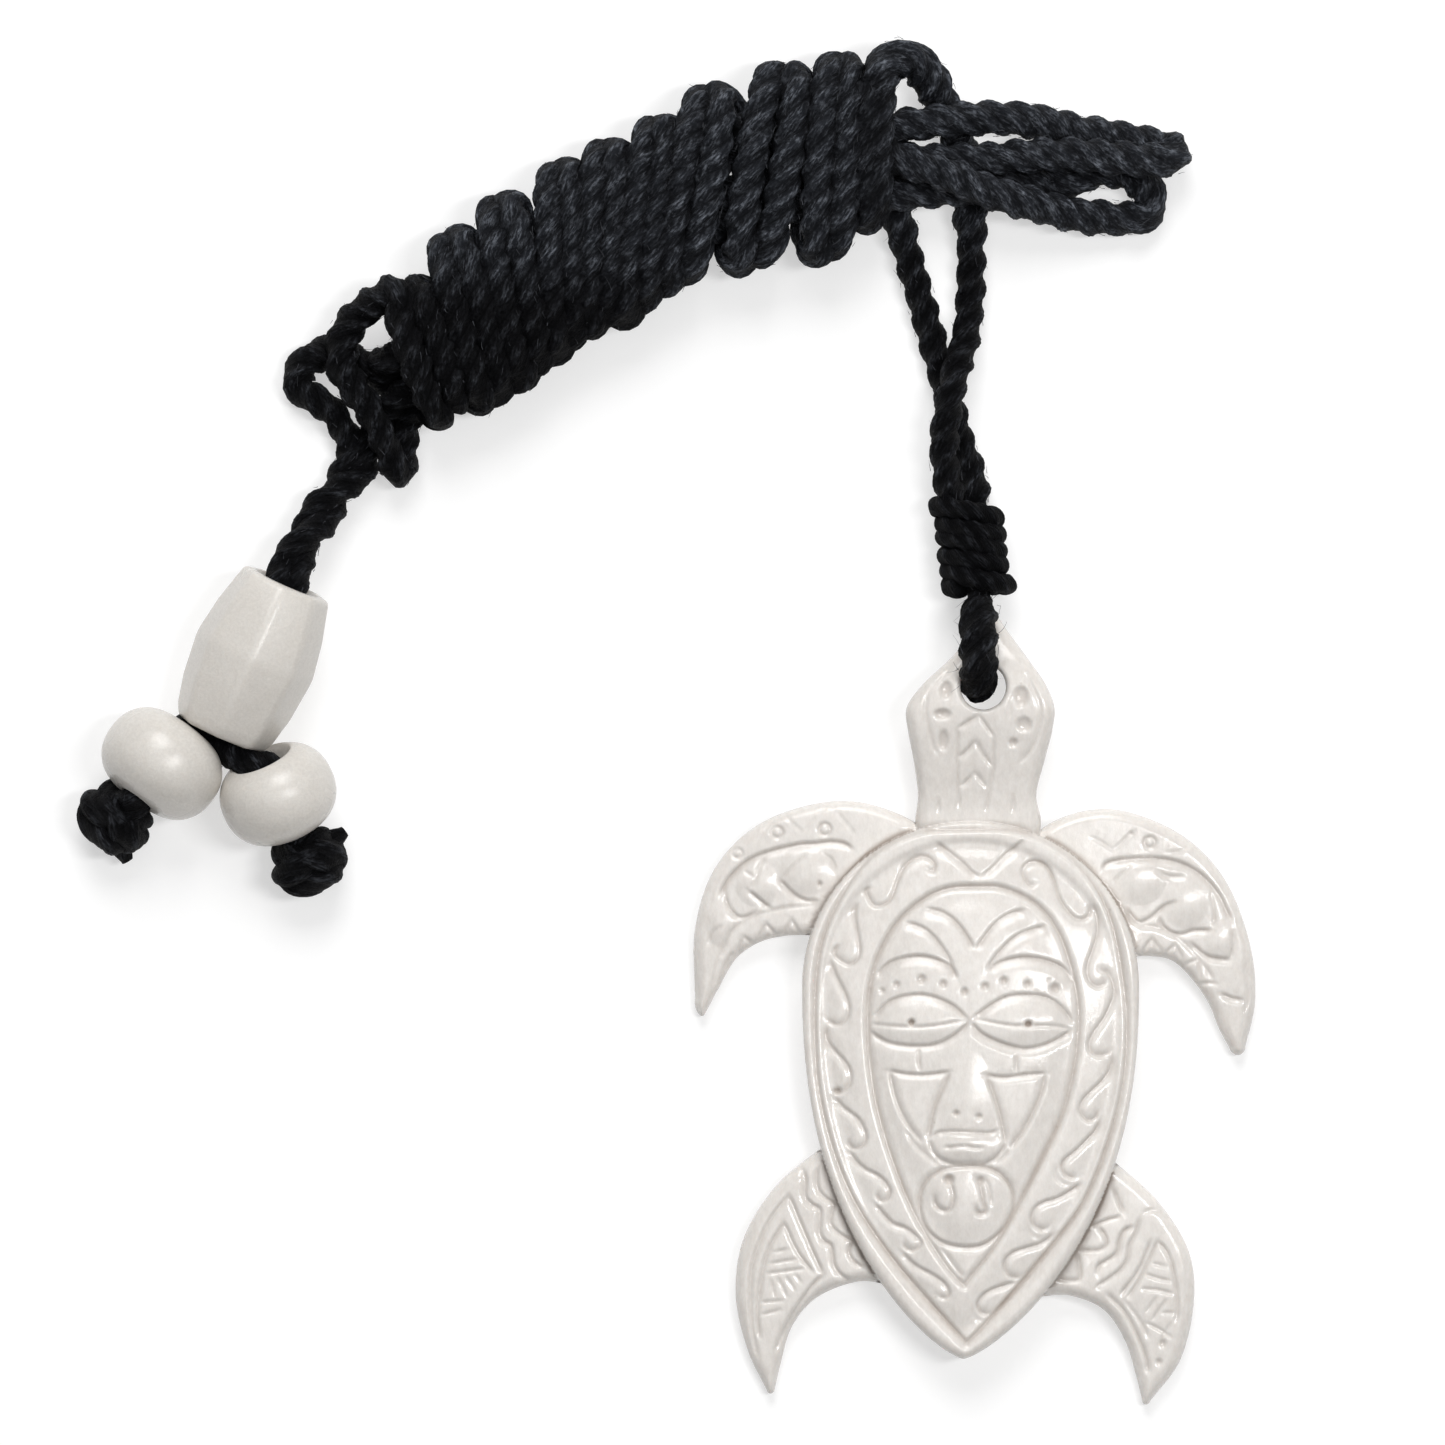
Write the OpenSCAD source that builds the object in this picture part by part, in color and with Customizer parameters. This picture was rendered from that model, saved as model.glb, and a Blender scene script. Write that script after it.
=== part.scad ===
// A turtle pendant carved from bone, on a twisted cord wound up in a hank.
// It lies on its flat back: z = 0 is the surface under it, +Y runs to the head, and the origin
// is the middle of the shell's flat back.

/* [Shell] */
// Width across the shell
shell_w = 21.5; // [20.5:0.5:22.5]
// Height of the shell's side above the surface
shell_side_h = 3.1; // [2.8:0.1:3.3]
// Height of the raised rim
rim_h = 3.9; // [3.7:0.1:4.1]
// Height of the shell at its middle
dome_h = 5.0; // [4.7:0.1:5.4]
// How far the carved face stands above the shell
relief_h = 0.3; // [0.2:0.05:0.4]

/* [Flippers] */
// Thickness of a front flipper where it leaves the shell
front_root_h = 3.0; // [2.8:0.1:3.1]
// Thickness of a front flipper at its tip
front_tip_h = 1.5; // [1.2:0.1:2]
// Thickness of a rear flipper where it leaves the shell
rear_root_h = 2.9; // [2.7:0.1:3]
// Thickness of a rear flipper at its tip
rear_tip_h = 1.4; // [1.1:0.1:2]

/* [Head] */
// Diameter of the hole for the cord
hole_d = 2.9; // [2.8:0.1:3]
// Height of the head's underside at the hole, which leaves room for the cord behind it
head_lift = 2.3; // [2.3:0.05:2.5]
// Thickness of the head at the hole
head_t = 2.4; // [2.2:0.1:2.5]

/* [Cord] */
// Thickness of the cord
cord_d = 1.8; // [1.7:0.05:1.85]
// Thickness of the cord where it is spread in the hole
bail_d = 2.0; // [1.8:0.1:2]
// Thickness of each strand where the two are twisted tightly at the barrel bead
tail_d = 1.3; // [1.2:0.05:1.3]
// Thickness of the wound hank
hank_t = 6.6; // [6.2:0.2:7]
// Diameter of the whipping above the head
whipping_d = 4.6; // [4.4:0.1:4.7]
// Number of turns in the whipping
whipping_turns = 6; // [5:1:7]

/* [Beads] */
// Length of the barrel bead
barrel_l = 10.6; // [10:0.2:10.8]
// Width across the flats at the middle of the barrel bead
barrel_d = 8.1; // [7.8:0.1:8.2]
// Width across the upper end of the barrel bead
barrel_end_d = 5.6; // [5.4:0.1:5.8]
// Bore of the barrel bead, for two strands
barrel_bore_d = 3.2; // [3.1:0.1:3.3]
// Diameter of the left side bead
left_bead_d = 8.0; // [7.8:0.1:8]
// Diameter of the right side bead
right_bead_d = 7.5; // [7.2:0.1:7.5]
// Thickness of a side bead along its bore
side_bead_t = 5.6; // [5.4:0.1:5.7]
// Bore of a side bead, for one strand
side_bore_d = 2.2; // [2.1:0.1:2.3]

/* [Knots] */
// Diameter of a stopper knot
knot_d = 4.8; // [4.6:0.1:4.9]
// Length of a stopper knot
knot_l = 3.2; // [3:0.1:3.2]

/* [Hidden] */

bone = [0.93, 0.91, 0.87];
bead_bone = [0.86, 0.84, 0.80];
cord_black = [0.12, 0.12, 0.14];

// Shell outlines, each [half width, top y, bottom y, widest y, power, root, tip's x] as egg()
// takes them: the outer edge, and the oval groove round the face
shell_edge = [shell_w / 2, 17.2, -17.1, 6.7, 2.3, 0.75, -0.45];
face_oval = [6.8, 13.1, -12, 4.8, 2, 0.9, -0.6];
shell_points = 56;

// The shell from its back up to its middle, each [place, height]: place runs from 0 at the
// edge through 1 at the oval groove to 2 at the middle
shell_profile = [
    [0, 0], [0, shell_side_h], [0.07, rim_h - 0.25], [0.15, rim_h], [0.25, rim_h],
    [0.33, rim_h - 0.35], [0.42, rim_h - 0.1], [0.92, rim_h + 0.4], [1, rim_h + 0.05],
    [1.08, dome_h - 0.55], [1.35, dome_h - 0.25], [1.65, dome_h - 0.07], [1.95, dome_h]
];

// Flipper edges as [x, y] from the shell to the tip, first the outer edge, then the inner
front_left_outer = [
    [-1, 15], [-4, 17.4], [-7.8, 18.5], [-11.8, 17.8], [-14.5, 16.3], [-16.5, 13.9],
    [-17.6, 10.3], [-17.6, 5.9]
];
front_left_inner = [
    [-4, 9], [-7, 9.6], [-9.6, 9.9], [-11.7, 9.9], [-13.4, 9.5], [-14.9, 8.5],
    [-16.1, 6.5], [-16.9, 5]
];
front_right_outer = [
    [2, 14], [5, 17], [8.6, 18], [12.3, 17], [14.8, 15.3], [16.6, 12.9],
    [18, 8.8], [18.2, 5.5], [17.6, 2.8]
];
front_right_inner = [
    [4, 8], [7, 8.2], [9.5, 8.5], [11.4, 8.6], [12.9, 8.3], [14.2, 7.1],
    [15.3, 5.5], [15.9, 4], [16.6, 2.7]
];
rear_left_outer = [
    [-6, -1], [-9.8, -3.9], [-12.4, -6.1], [-14.5, -9.5], [-15, -13], [-14.2, -16.7], [-13, -19.2]
];
rear_left_inner = [
    [-2, -9], [-4.4, -12.2], [-7.2, -12.2], [-9.9, -13.3], [-11.4, -15.1], [-12.1, -17.4], [-12.5, -19.1]
];
rear_right_outer = [
    [6, -2], [9.5, -4.8], [12.1, -7.2], [14, -10.4], [14.3, -13.4], [13.4, -17.3], [11.5, -19.9]
];
rear_right_inner = [
    [1, -9], [3.6, -12.9], [6.4, -13.1], [8.5, -14], [9.9, -16], [10.6, -18.2], [11, -19.8]
];
flipper_steps = 2;
edge_round = 0.9;
back_round = 0.4;

// The head from the neck to its tip, each [y, left x, right x, underside z, top z]
hole_at = [0.8, 25.8];
tip_h = head_t - 1.6;
head_top = head_lift + head_t;
head_rows = [
    [14, -3, 4, 0, 3.3], [17.2, -3.6, 4.7, 0, 3.4], [18.8, -3.1, 4.4, 0.3, 3.6],
    [21.2, -3.6, 4.8, 1.4, head_top - 0.6], [23, -4, 5.2, head_lift - 0.3, head_top - 0.2],
    [24.4, -4.2, 5.4, head_lift, head_top], [25.8, -3.1, 4.9, head_lift, head_top],
    [27.8, -1, 3.8, head_lift, head_top - 0.3], [29.3, 0, 2.7, head_lift, head_top - 0.9],
    [30.2, 0.6, 2, head_lift, head_lift + tip_h]
];

// The whipping's axis, from the head's end to the legs' end
whipping_low = [0.4, 31.65, whipping_d / 2 + 0.15];
whipping_high = [-0.2, 37.6, whipping_d / 2 + 0.1];

// The hank's turns from right to left, each [top x, top y, bottom x, bottom y] of its crest
hank_turns = [
    [-8.3, 66.2, -9.2, 52.9], [-11.8, 65.7, -14, 52.6], [-16.5, 64.2, -18.8, 51.4],
    [-19.9, 62.2, -21.6, 49.4], [-23.2, 60.7, -23.8, 48.6], [-26.2, 59.4, -25.9, 47.2],
    [-30.2, 57.2, -28, 45.4], [-33.4, 54.9, -30.3, 43.7], [-36.3, 51.7, -33, 42.4]
];
// The core where it leaves the last turn, each [top x, top y, bottom x, bottom y, thickness]
core_rows = [[-37.2, 48.8, -35.8, 42.7, 4.8], [-39.2, 46.6, -37.8, 43.8, 3.8]];
hank_points = 16;

// Routes of the cord, each a list of [x, y, z] from the head's side on
strand_z = 0.95;
bail_route = [
    [0.5, 31.15, 3.6], [0.5, 30.8, 3.8], [0.5, 30.1, 4.8], [0.5, 29.4, 5.3], [0.5, 28.2, 5.75],
    [0.5, 27, 5.8], [0.55, 26.1, 5.1], [0.6, 25.7, 3.8], [0.6, 25.85, 2.4], [0.55, 26.4, 1.5],
    [0.5, 27.4, 1.1], [0.5, 31.15, 1.1]
];
left_leg_route = [
    [0.55, 37.9, 1.7], [0.4, 39.4, 1.3], [-0.5, 41.6, strand_z], [-2.1, 46.8, strand_z], [-3, 50, strand_z], [-4.7, 56, strand_z], [-4.4, 58.8, strand_z],
    [-3.7, 61.6, strand_z], [-3.7, 63.2, strand_z], [-4.2, 64, 1.6], [-4.8, 63.8, 2.8],
    [-5.6, 63.3, 3.4], [-6.4, 63.25, 3.6]
];
right_leg_route = [
    [-1.2, 37.85, 3], [-1.5, 39, 3], [-1.7, 41.6, 2.9], [-1.3, 44.2, 3.1], [-0.9, 46, 2.7],
    [-0.3, 48, 1.7], [0, 50.6, strand_z], [0, 56, strand_z], [-0.5, 59, strand_z],
    [-1.3, 61.6, strand_z], [-1.9, 63.6, 1.5], [-2.7, 65.3, 2.8], [-4, 66.1, 4.3],
    [-5.3, 65.4, 5.2], [-6.45, 64.4, 5.5]
];
upper_loop_route = [
    [-6.4, 61.2, 3], [-4, 61.6, 3], [-1.9, 61.9, 3], [1.9, 62.2, 2.8], [4.5, 62, 2.4],
    [7, 61.4, 1.9], [9.9, 60.9, 1.3], [12.2, 60.4, 1], [13.3, 60, 1.7], [12.6, 59.3, 2.8],
    [9.6, 59.3, 2.9], [3.8, 59.7, 2.9], [-1.9, 59.5, 3], [-6.4, 59.2, 3]
];
lower_loop_route = [
    [-6.4, 60.3, 4.8], [-4.8, 59.9, 4.8], [-1.9, 58.4, 4.8], [1.3, 56.9, 4.7], [4.2, 56.1, 3.2],
    [6.7, 55.6, 1.8], [9, 55.6, 1], [10.9, 55.9, strand_z], [11.8, 56.8, strand_z],
    [11.1, 58, strand_z], [8.6, 58.6, strand_z], [6.1, 58.6, 1.1], [3.5, 58.1, 1.9],
    [1, 57.6, 2.8], [-2.2, 57.2, 2.8], [-6.4, 57, 2.9]
];
end_turn_route = [
    [-37.9, 50.7, 4.1], [-38.9, 49.7, 3.3], [-39.7, 48.4, 2.9], [-40.1, 46.8, 2.8],
    [-40.3, 45, 2.8], [-39.7, 43.2, 2.8], [-38.4, 41.5, 2.8], [-37.2, 40.2, 2.8],
    [-36.5, 39.4, 2.3], [-36.3, 39.2, 1.6], [-36.4, 39.9, strand_z], [-36.6, 41.5, strand_z]
];
end_loop_route = [
    [-39.9, 46.4, strand_z], [-40.6, 47.2, strand_z], [-41.8, 47.3, strand_z],
    [-42.9, 46.5, strand_z], [-43.3, 45.1, strand_z], [-42.2, 43.9, strand_z],
    [-41, 42.7, strand_z], [-40.2, 41.2, strand_z]
];
core_exit_route = [[-38.6, 43.2, strand_z], [-38.3, 42, strand_z], [-38.2, 41, strand_z]];

// The twisted tail: its axis from the hank to the barrel bead, and its twist over that way
tail_axis = [[-39.3, 39.9, 1.1], [-40.5, 38.2, 1.65], [-42, 36, 2.6], [-43.2, 33.8, 3.9]];
tail_twist = 360;
tail_r = 0.7;

// The barrel bead's axis, from its upper end to its lower end
barrel_high = [-43.6, 32.4, 4.6];
barrel_tilt = 5;
barrel_turn = 24;
barrel_dir = [
    -sin(barrel_turn) * cos(barrel_tilt), -cos(barrel_turn) * cos(barrel_tilt), -sin(barrel_tilt)
];
barrel_low = barrel_high + barrel_l * barrel_dir;
// The barrel bead's shape from its upper end to its lower end, each [place along it, width]
barrel_rows = [
    [0, barrel_end_d], [0.25, barrel_d - 0.7], [0.45, barrel_d], [0.72, barrel_d - 0.5],
    [0.95, barrel_end_d + 0.6], [1, barrel_bore_d + 1]
];
barrel_sides = 8;

// Side beads: where they lie, and which way their bores run to the knots beyond them
knot_gap = 0.2;
knot_place = side_bead_t / 2 + knot_gap + knot_l / 2;
function bore_dir(turn, bead_d) =
    let (fall = asin((bead_d - knot_d) / 2 / knot_place))
    [cos(turn) * cos(fall), sin(turn) * cos(fall), -sin(fall)];
left_bead_at = [-51.6, 20.9, left_bead_d / 2];
left_bead_dir = bore_dir(229, left_bead_d);
right_bead_at = [-44.2, 18.95, right_bead_d / 2];
right_bead_dir = bore_dir(294, right_bead_d);
left_knot_at = left_bead_at + left_bead_dir * knot_place;
right_knot_at = right_bead_at + right_bead_dir * knot_place;

// Routes of the two strands from the barrel bead to the knots
left_end_route = [
    [-48.85, 22.4, 4.4], left_bead_at - left_bead_dir * side_bead_t * 0.3, left_bead_at,
    left_bead_at + left_bead_dir * side_bead_t * 0.5
];
right_end_route = [
    [-47.2, 21.9, 3.75], [-46.5, 21.2, 4.1], right_bead_at - right_bead_dir * side_bead_t * 0.3,
    right_bead_at, right_bead_at + right_bead_dir * side_bead_t * 0.5
];

up = [0, 0, 1];
function unit(v) = v / norm(v);
function mix(a, b, t) = a + (b - a) * t;

// A smooth curve through points, with a given number of steps from each point to the next
function bend(a, b, c, d, t) =
    0.5 * (2 * b + (c - a) * t + (2 * a - 5 * b + 4 * c - d) * t * t
        + (3 * b - a - 3 * c + d) * t * t * t);
function smooth(points, steps) =
    let (last = len(points) - 1)
    concat(
        [
            for (i = [0:last - 1]) for (k = [0:steps - 1])
                bend(points[max(i - 1, 0)], points[i], points[i + 1], points[min(i + 2, last)], k / steps)
        ],
        [points[last]]
    );

// An egg with a pointed lower end, wide as e[0] says at y = e[3]
function egg(e, count) = [
    for (i = [0:count - 1])
        let (
            a = i * 360 / count,
            upper = sin(a) >= 0,
            rise = abs(sin(a)),
            fall = pow(rise, 1.15),
            half = upper ? cos(a) : sign(cos(a)) * pow(1 - pow(fall, e[4]), e[5])
        )
        [
            e[0] * half + (upper ? 0 : e[6] * pow(fall, 3)),
            e[3] + ((upper ? e[1] : e[2]) - e[3]) * (upper ? rise : fall)
        ]
];
function lift(outline, z) = [for (p = outline) [p[0], p[1], z]];

// The shell's ring at a place from 0 at the edge through 1 at the oval groove to 2 at the middle
function shell_ring(place) =
    let (
        within = max(place - 1, 0),
        size = 1 - within,
        centre_y = mix(face_oval[3], -0.5, 0),
        e = place <= 1 ? mix(shell_edge, face_oval, place) : face_oval
    )
    [for (p = egg(e, shell_points)) [p[0] * size, centre_y + (p[1] - centre_y) * size]];

// A closed solid through rings that all have the same number of points
module loft(rings) {
    n = len(rings[0]);
    m = len(rings);
    points = [for (ring = rings) each ring];
    sides = [
        for (i = [0:m - 2]) for (j = [0:n - 1])
            let (a = i * n + j, b = i * n + (j + 1) % n, c = b + n, d = a + n)
            each [[a, d, c], [a, c, b]]
    ];
    first_cap = [for (j = [1:n - 2]) [0, j, j + 1]];
    last_cap = [for (j = [1:n - 2]) [(m - 1) * n, (m - 1) * n + j + 1, (m - 1) * n + j]];
    polyhedron(points = points, faces = concat(sides, first_cap, last_cap), convexity = 6);
}

// A round strand swept along a route, with eight sides
strand_sides = 8;
function strand_ring(route, i, d, side) =
    let (
        last = len(route) - 1,
        ahead = unit(route[min(i + 1, last)] - route[max(i - 1, 0)]),
        across = unit(cross(side, ahead)),
        over = cross(ahead, across)
    )
    [
        for (k = [0:strand_sides - 1])
            let (a = (k + 0.5) * 360 / strand_sides)
            route[i] + (across * cos(a) + over * sin(a)) * d / 2
    ];
module strand(route, d = cord_d, side = up) {
    loft([for (i = [0:len(route) - 1]) strand_ring(route, i, d, side)]);
}

// Turns its children's +Z to a direction and moves them to a point
module aim(at, dir) {
    flat = norm([dir[0], dir[1]]);
    translate(at) rotate([0, atan2(flat, dir[2]), atan2(dir[1], dir[0])]) children();
}

function backwards(ring) = [for (k = [len(ring) - 1:-1:0]) ring[k]];

// A flat limb's section between two edge points, with rounded edges, from the first point's
// underside over the top to the second point's underside
function limb_section(a, b, low, high) =
    let (
        width = norm(b - a),
        inward = unit(b - a),
        top_cut = min(edge_round, width * 0.3, (high - low) * 0.4),
        low_cut = min(back_round, width * 0.2, (high - low) * 0.3)
    )
    [
        each lift([a + inward * low_cut], low), each lift([a], low + low_cut),
        each lift([a], high - top_cut), each lift([a + inward * top_cut], high),
        each lift([b - inward * top_cut], high), each lift([b], high - top_cut),
        each lift([b], low + low_cut), each lift([b - inward * low_cut], low)
    ];

// One flipper, lofted from its root to its tip between its two edges
module flipper(outer, inner, root_h, tip_h) {
    outer_line = smooth(outer, flipper_steps);
    inner_line = smooth(inner, flipper_steps);
    last = len(outer_line) - 1;
    inner_on_left = cross(outer_line[1] - outer_line[0], inner_line[0] - outer_line[0]) > 0;
    rings = [
        for (i = [0:last])
            limb_section(outer_line[i], inner_line[i], 0, mix(root_h, tip_h, pow(i / last, 1.5)))
    ];
    loft(inner_on_left ? [for (ring = rings) backwards(ring)] : rings);
}

module shell() {
    loft([for (row = shell_profile) lift(shell_ring(row[0]), row[1])]);
}

// The main forms of the carved face, seen from above
eye_left = [[-6.3, 4.2], [-0.2, 4.4]];
eye_right = [[0.2, 4.4], [6.3, 4]];
nose = [[-1.2, 1], [1.1, 1], [1.8, -2.3], [-2.5, -2.5]];
mouth_at = [-0.35, -3.7];
chin_at = [-0.3, -7.4];
chin_r = 2.8;
function bow(ends, rise) = [
    for (i = [0:10])
        let (t = i / 10)
        mix(ends[0], ends[1], t) + [0, 4 * rise * t * (1 - t)]
];
module lens(ends, rise, fall) {
    polygon(concat(bow(ends, rise), backwards(bow(ends, -fall))));
}
module face_forms() {
    for (eye = [eye_left, eye_right]) {
        lens(eye, 1.5, 1.2);
        brow = [eye[0] + [0.3, 2.5], eye[1] + [-0.3, 2.6]];
        polygon(concat(bow(brow, 1.2), backwards(bow(brow, 0.2))));
    }
    polygon(nose);
    difference() {
        translate(mouth_at) lens([[-2.2, 0], [2.2, 0]], 0.9, 0.9);
        translate(mouth_at) square([2, 0.4], center = true);
    }
    translate(chin_at) circle(r = chin_r, $fn = 48);
}
module face() {
    intersection() {
        translate([0, 0, relief_h]) shell();
        translate([0, 0, 2]) linear_extrude(5) face_forms();
    }
}

module head() {
    loft([
        for (row = smooth(head_rows, 2))
            limb_section([row[1], row[0]], [row[2], row[0]], max(row[3], 0), row[4])
    ]);
}

module turtle() {
    color(bone) difference() {
        union() {
            shell();
            face();
            head();
            flipper(front_left_outer, front_left_inner, front_root_h, front_tip_h);
            flipper(front_right_outer, front_right_inner, front_root_h, front_tip_h);
            flipper(rear_left_outer, rear_left_inner, rear_root_h, rear_tip_h);
            flipper(rear_right_outer, rear_right_inner, rear_root_h, rear_tip_h);
        }
        translate([hole_at[0], hole_at[1], -1]) cylinder(d = hole_d, h = 8, $fn = 48);
    }
}

module bail_cord() {
    color(cord_black) strand(bail_route, bail_d, [1, 0, 0]);
}

// Turns of thread side by side round the strands
module whipping() {
    axis = whipping_high - whipping_low;
    pitch = norm(axis) / whipping_turns;
    ridge = 0.3;
    profile = [
        for (i = [0:whipping_turns - 1]) each [
            [whipping_d / 2 - ridge, i * pitch], [whipping_d / 2, (i + 0.3) * pitch],
            [whipping_d / 2, (i + 0.7) * pitch]
        ]
    ];
    color(cord_black) aim(whipping_low, axis)
        rotate_extrude($fn = 48)
            polygon(concat([[0, 0]], profile, [[whipping_d / 2 - ridge, norm(axis)], [0, norm(axis)]]));
}

module left_leg() {
    color(cord_black) strand(left_leg_route);
}

module right_leg() {
    color(cord_black) strand(right_leg_route);
}

// The hank's outer form: a flattened section at each crest and a smaller one between two turns
function hank_ring(row, size, t) =
    let (
        centre = [(row[0] + row[2]) / 2, (row[1] + row[3]) / 2],
        half = [(row[0] - row[2]) / 2, (row[1] - row[3]) / 2]
    )
    [
        for (k = [0:hank_points - 1])
            let (
                a = k * 360 / hank_points,
                s = sign(sin(a)) * pow(abs(sin(a)), 0.75) * size,
                c = sign(cos(a)) * pow(abs(cos(a)), 0.75) * (1 - (1 - size) / 2)
            )
            [centre[0] + half[0] * s, centre[1] + half[1] * s, hank_t / 2 + t / 2 * c]
    ];
module hank() {
    crest = 0.28;
    valley = 0.87;
    last = len(hank_turns) - 1;
    right_face = [-6.6, 65, -6.9, 53.4];
    turns = [
        for (i = [0:last])
            let (
                here = hank_turns[i],
                before = i == 0 ? right_face : hank_turns[i - 1],
                after = i == last ? here : hank_turns[i + 1]
            )
            each [
                hank_ring(mix(here, before, crest), 1, hank_t),
                if (i < last) hank_ring(mix(here, after, crest), 1, hank_t),
                if (i < last) hank_ring(mix(here, after, 0.5), valley, hank_t)
            ]
    ];
    core = [
        for (row = core_rows)
            hank_ring(row, 0.95, row[4])
    ];
    color(cord_black)
        loft(concat([hank_ring(right_face, valley, hank_t)], turns, core));
}

module upper_loop() {
    color(cord_black) strand(upper_loop_route);
}

module lower_loop() {
    color(cord_black) strand(lower_loop_route);
}

module end_loop() {
    color(cord_black) strand(end_loop_route);
}

module end_turn() {
    color(cord_black) strand(end_turn_route);
}

// One strand of the twisted tail: along the axis, turned round it, through the barrel bead
tail_line = smooth(tail_axis, 3);
function tail_point(at, ahead, a) =
    let (across = unit(cross(up, ahead)), over = cross(ahead, across))
    at + (across * cos(a) + over * sin(a)) * tail_r;
function tail_strand(start) = concat(
    [
        for (i = [0:len(tail_line) - 1])
            let (
                before = tail_line[max(i - 1, 0)],
                after = tail_line[min(i + 1, len(tail_line) - 1)]
            )
            tail_point(tail_line[i], unit(after - before), start + tail_twist * i / (len(tail_line) - 1))
    ],
    [
        tail_point(barrel_high + barrel_dir * 0.5, barrel_dir, start + tail_twist),
        tail_point(barrel_low - barrel_dir * 1.5, barrel_dir, start + tail_twist)
    ]
);

module left_tail() {
    color(cord_black) strand(concat(tail_strand(180), left_end_route), tail_d);
}

module right_tail() {
    color(cord_black) strand(concat(core_exit_route, tail_strand(0), right_end_route), tail_d);
}

// Bead with eight hand-cut sides, wider at its middle, and a bore flared at its upper end
module barrel_bead() {
    flare = 0.8;
    rings = [
        for (row = barrel_rows) [
            for (k = [0:barrel_sides - 1])
                let (
                    a = (k + 0.5) * 360 / barrel_sides,
                    r = row[1] / 2 / cos(180 / barrel_sides)
                )
                [r * cos(a), r * sin(a), row[0] * barrel_l]
        ]
    ];
    color(bead_bone) aim(barrel_high, barrel_dir) difference() {
        loft(rings);
        translate([0, 0, -1]) cylinder(d = barrel_bore_d, h = barrel_l + 2, $fn = 48);
        translate([0, 0, -0.01])
            cylinder(d1 = barrel_bore_d + flare, d2 = barrel_bore_d, h = flare, $fn = 48);
    }
}

// Rounded disc bead, turned about its bore, which opens wide toward the barrel bead
module side_bead(d) {
    steps = 16;
    first = -60;
    last = 68;
    mouth = 1.2;
    color(bead_bone) rotate_extrude($fn = 64)
        polygon(concat(
            [
                for (i = [0:steps])
                    let (a = mix(first, last, i / steps))
                    [d / 2 * pow(cos(a), 0.9), side_bead_t / 2 * sin(a) / sin(last)]
            ],
            [[side_bore_d / 2, side_bead_t / 2], [side_bore_d / 2, -side_bead_t / 2 + mouth]]
        ));
}

module left_side_bead() {
    aim(left_bead_at, left_bead_dir) side_bead(left_bead_d);
}

module right_side_bead() {
    aim(right_bead_at, right_bead_dir) side_bead(right_bead_d);
}

// Stopper knot: two rounded turns of the strand side by side
module knot() {
    half = knot_l / 2;
    color(cord_black) rotate_extrude($fn = 48)
        polygon([
            [0, -half], [1.3, -half], [knot_d / 2 - 0.3, -half * 0.7], [knot_d / 2, -half * 0.4],
            [knot_d / 2 - 0.2, 0], [knot_d / 2 - 0.1, half * 0.35], [knot_d / 2 - 0.5, half * 0.75],
            [1.2, half], [0, half]
        ]);
}

module left_knot() {
    aim(left_knot_at, left_bead_dir) knot();
}

module right_knot() {
    aim(right_knot_at, right_bead_dir) knot();
}

turtle();
bail_cord();
whipping();
left_leg();
right_leg();
hank();
upper_loop();
lower_loop();
end_loop();
end_turn();
left_tail();
right_tail();
barrel_bead();
left_side_bead();
right_side_bead();
left_knot();
right_knot();
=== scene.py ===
"""A carved bone turtle pendant on a black cord, with the cord wound into a hank above it."""
import math

import bpy
import numpy as np
from mathutils import Matrix, Vector
from mathutils.geometry import delaunay_2d_cdt
from mathutils.kdtree import KDTree


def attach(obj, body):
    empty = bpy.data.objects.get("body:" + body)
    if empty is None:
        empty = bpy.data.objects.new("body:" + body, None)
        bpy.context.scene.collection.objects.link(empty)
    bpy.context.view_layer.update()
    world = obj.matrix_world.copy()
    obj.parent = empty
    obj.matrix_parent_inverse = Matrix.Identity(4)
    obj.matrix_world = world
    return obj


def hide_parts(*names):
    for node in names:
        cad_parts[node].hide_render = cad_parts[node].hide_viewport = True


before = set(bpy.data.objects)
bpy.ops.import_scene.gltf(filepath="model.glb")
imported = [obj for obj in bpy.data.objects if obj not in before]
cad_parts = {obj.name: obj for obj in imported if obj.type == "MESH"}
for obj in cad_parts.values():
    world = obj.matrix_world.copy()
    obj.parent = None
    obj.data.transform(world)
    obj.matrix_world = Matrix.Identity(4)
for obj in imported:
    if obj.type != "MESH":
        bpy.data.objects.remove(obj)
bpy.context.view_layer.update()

MM = 0.001

# The view: straight down on the pendant from a little over a metre, with a long lens, so
# that nothing leans away from the middle of the picture. The picture is 92.5 mm wide.
view_x = -15.84 * MM
view_y = 23.52 * MM
view_height = 1.2
view_width = 92.48 * MM
bpy.ops.object.select_all(action="DESELECT")
bpy.ops.object.camera_add(location=(view_x, view_y, view_height), rotation=(0, 0, 0))
camera = bpy.context.object
camera.name = "camera"
camera.data.sensor_width = 36
camera.data.lens = 36 * view_height / view_width
camera.data.clip_start = 0.01
camera.data.clip_end = 10
bpy.context.scene.camera = camera
bpy.context.scene.view_settings.view_transform = "Standard"

# The cord: about 0.9 m of black waxed cotton, three plies laid together. Its middle goes through
# the hole in the head, and its two strands run side by side through the whipping, ten doubled
# turns of the hank and the core inside them to the beads. Each strand is one swept solid.
over_plies = 2.0  # across the tops of the plies
lay = 5.2  # in which the plies turn round once
rope_step = 0.3
rope_sides = 24


def unit(vector):
    """A direction with the length one."""
    return vector / np.linalg.norm(vector)


def level_frame(way):
    """Two directions at right angles to a way, of which the first is level."""
    level = unit(np.cross([0, 0, 1.0], way))
    return level, np.cross(way, level)


def run_along(line):
    """How far along a line each of its points is."""
    return np.concatenate([[0], np.cumsum(np.linalg.norm(np.diff(line, axis=0), axis=1))])


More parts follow.
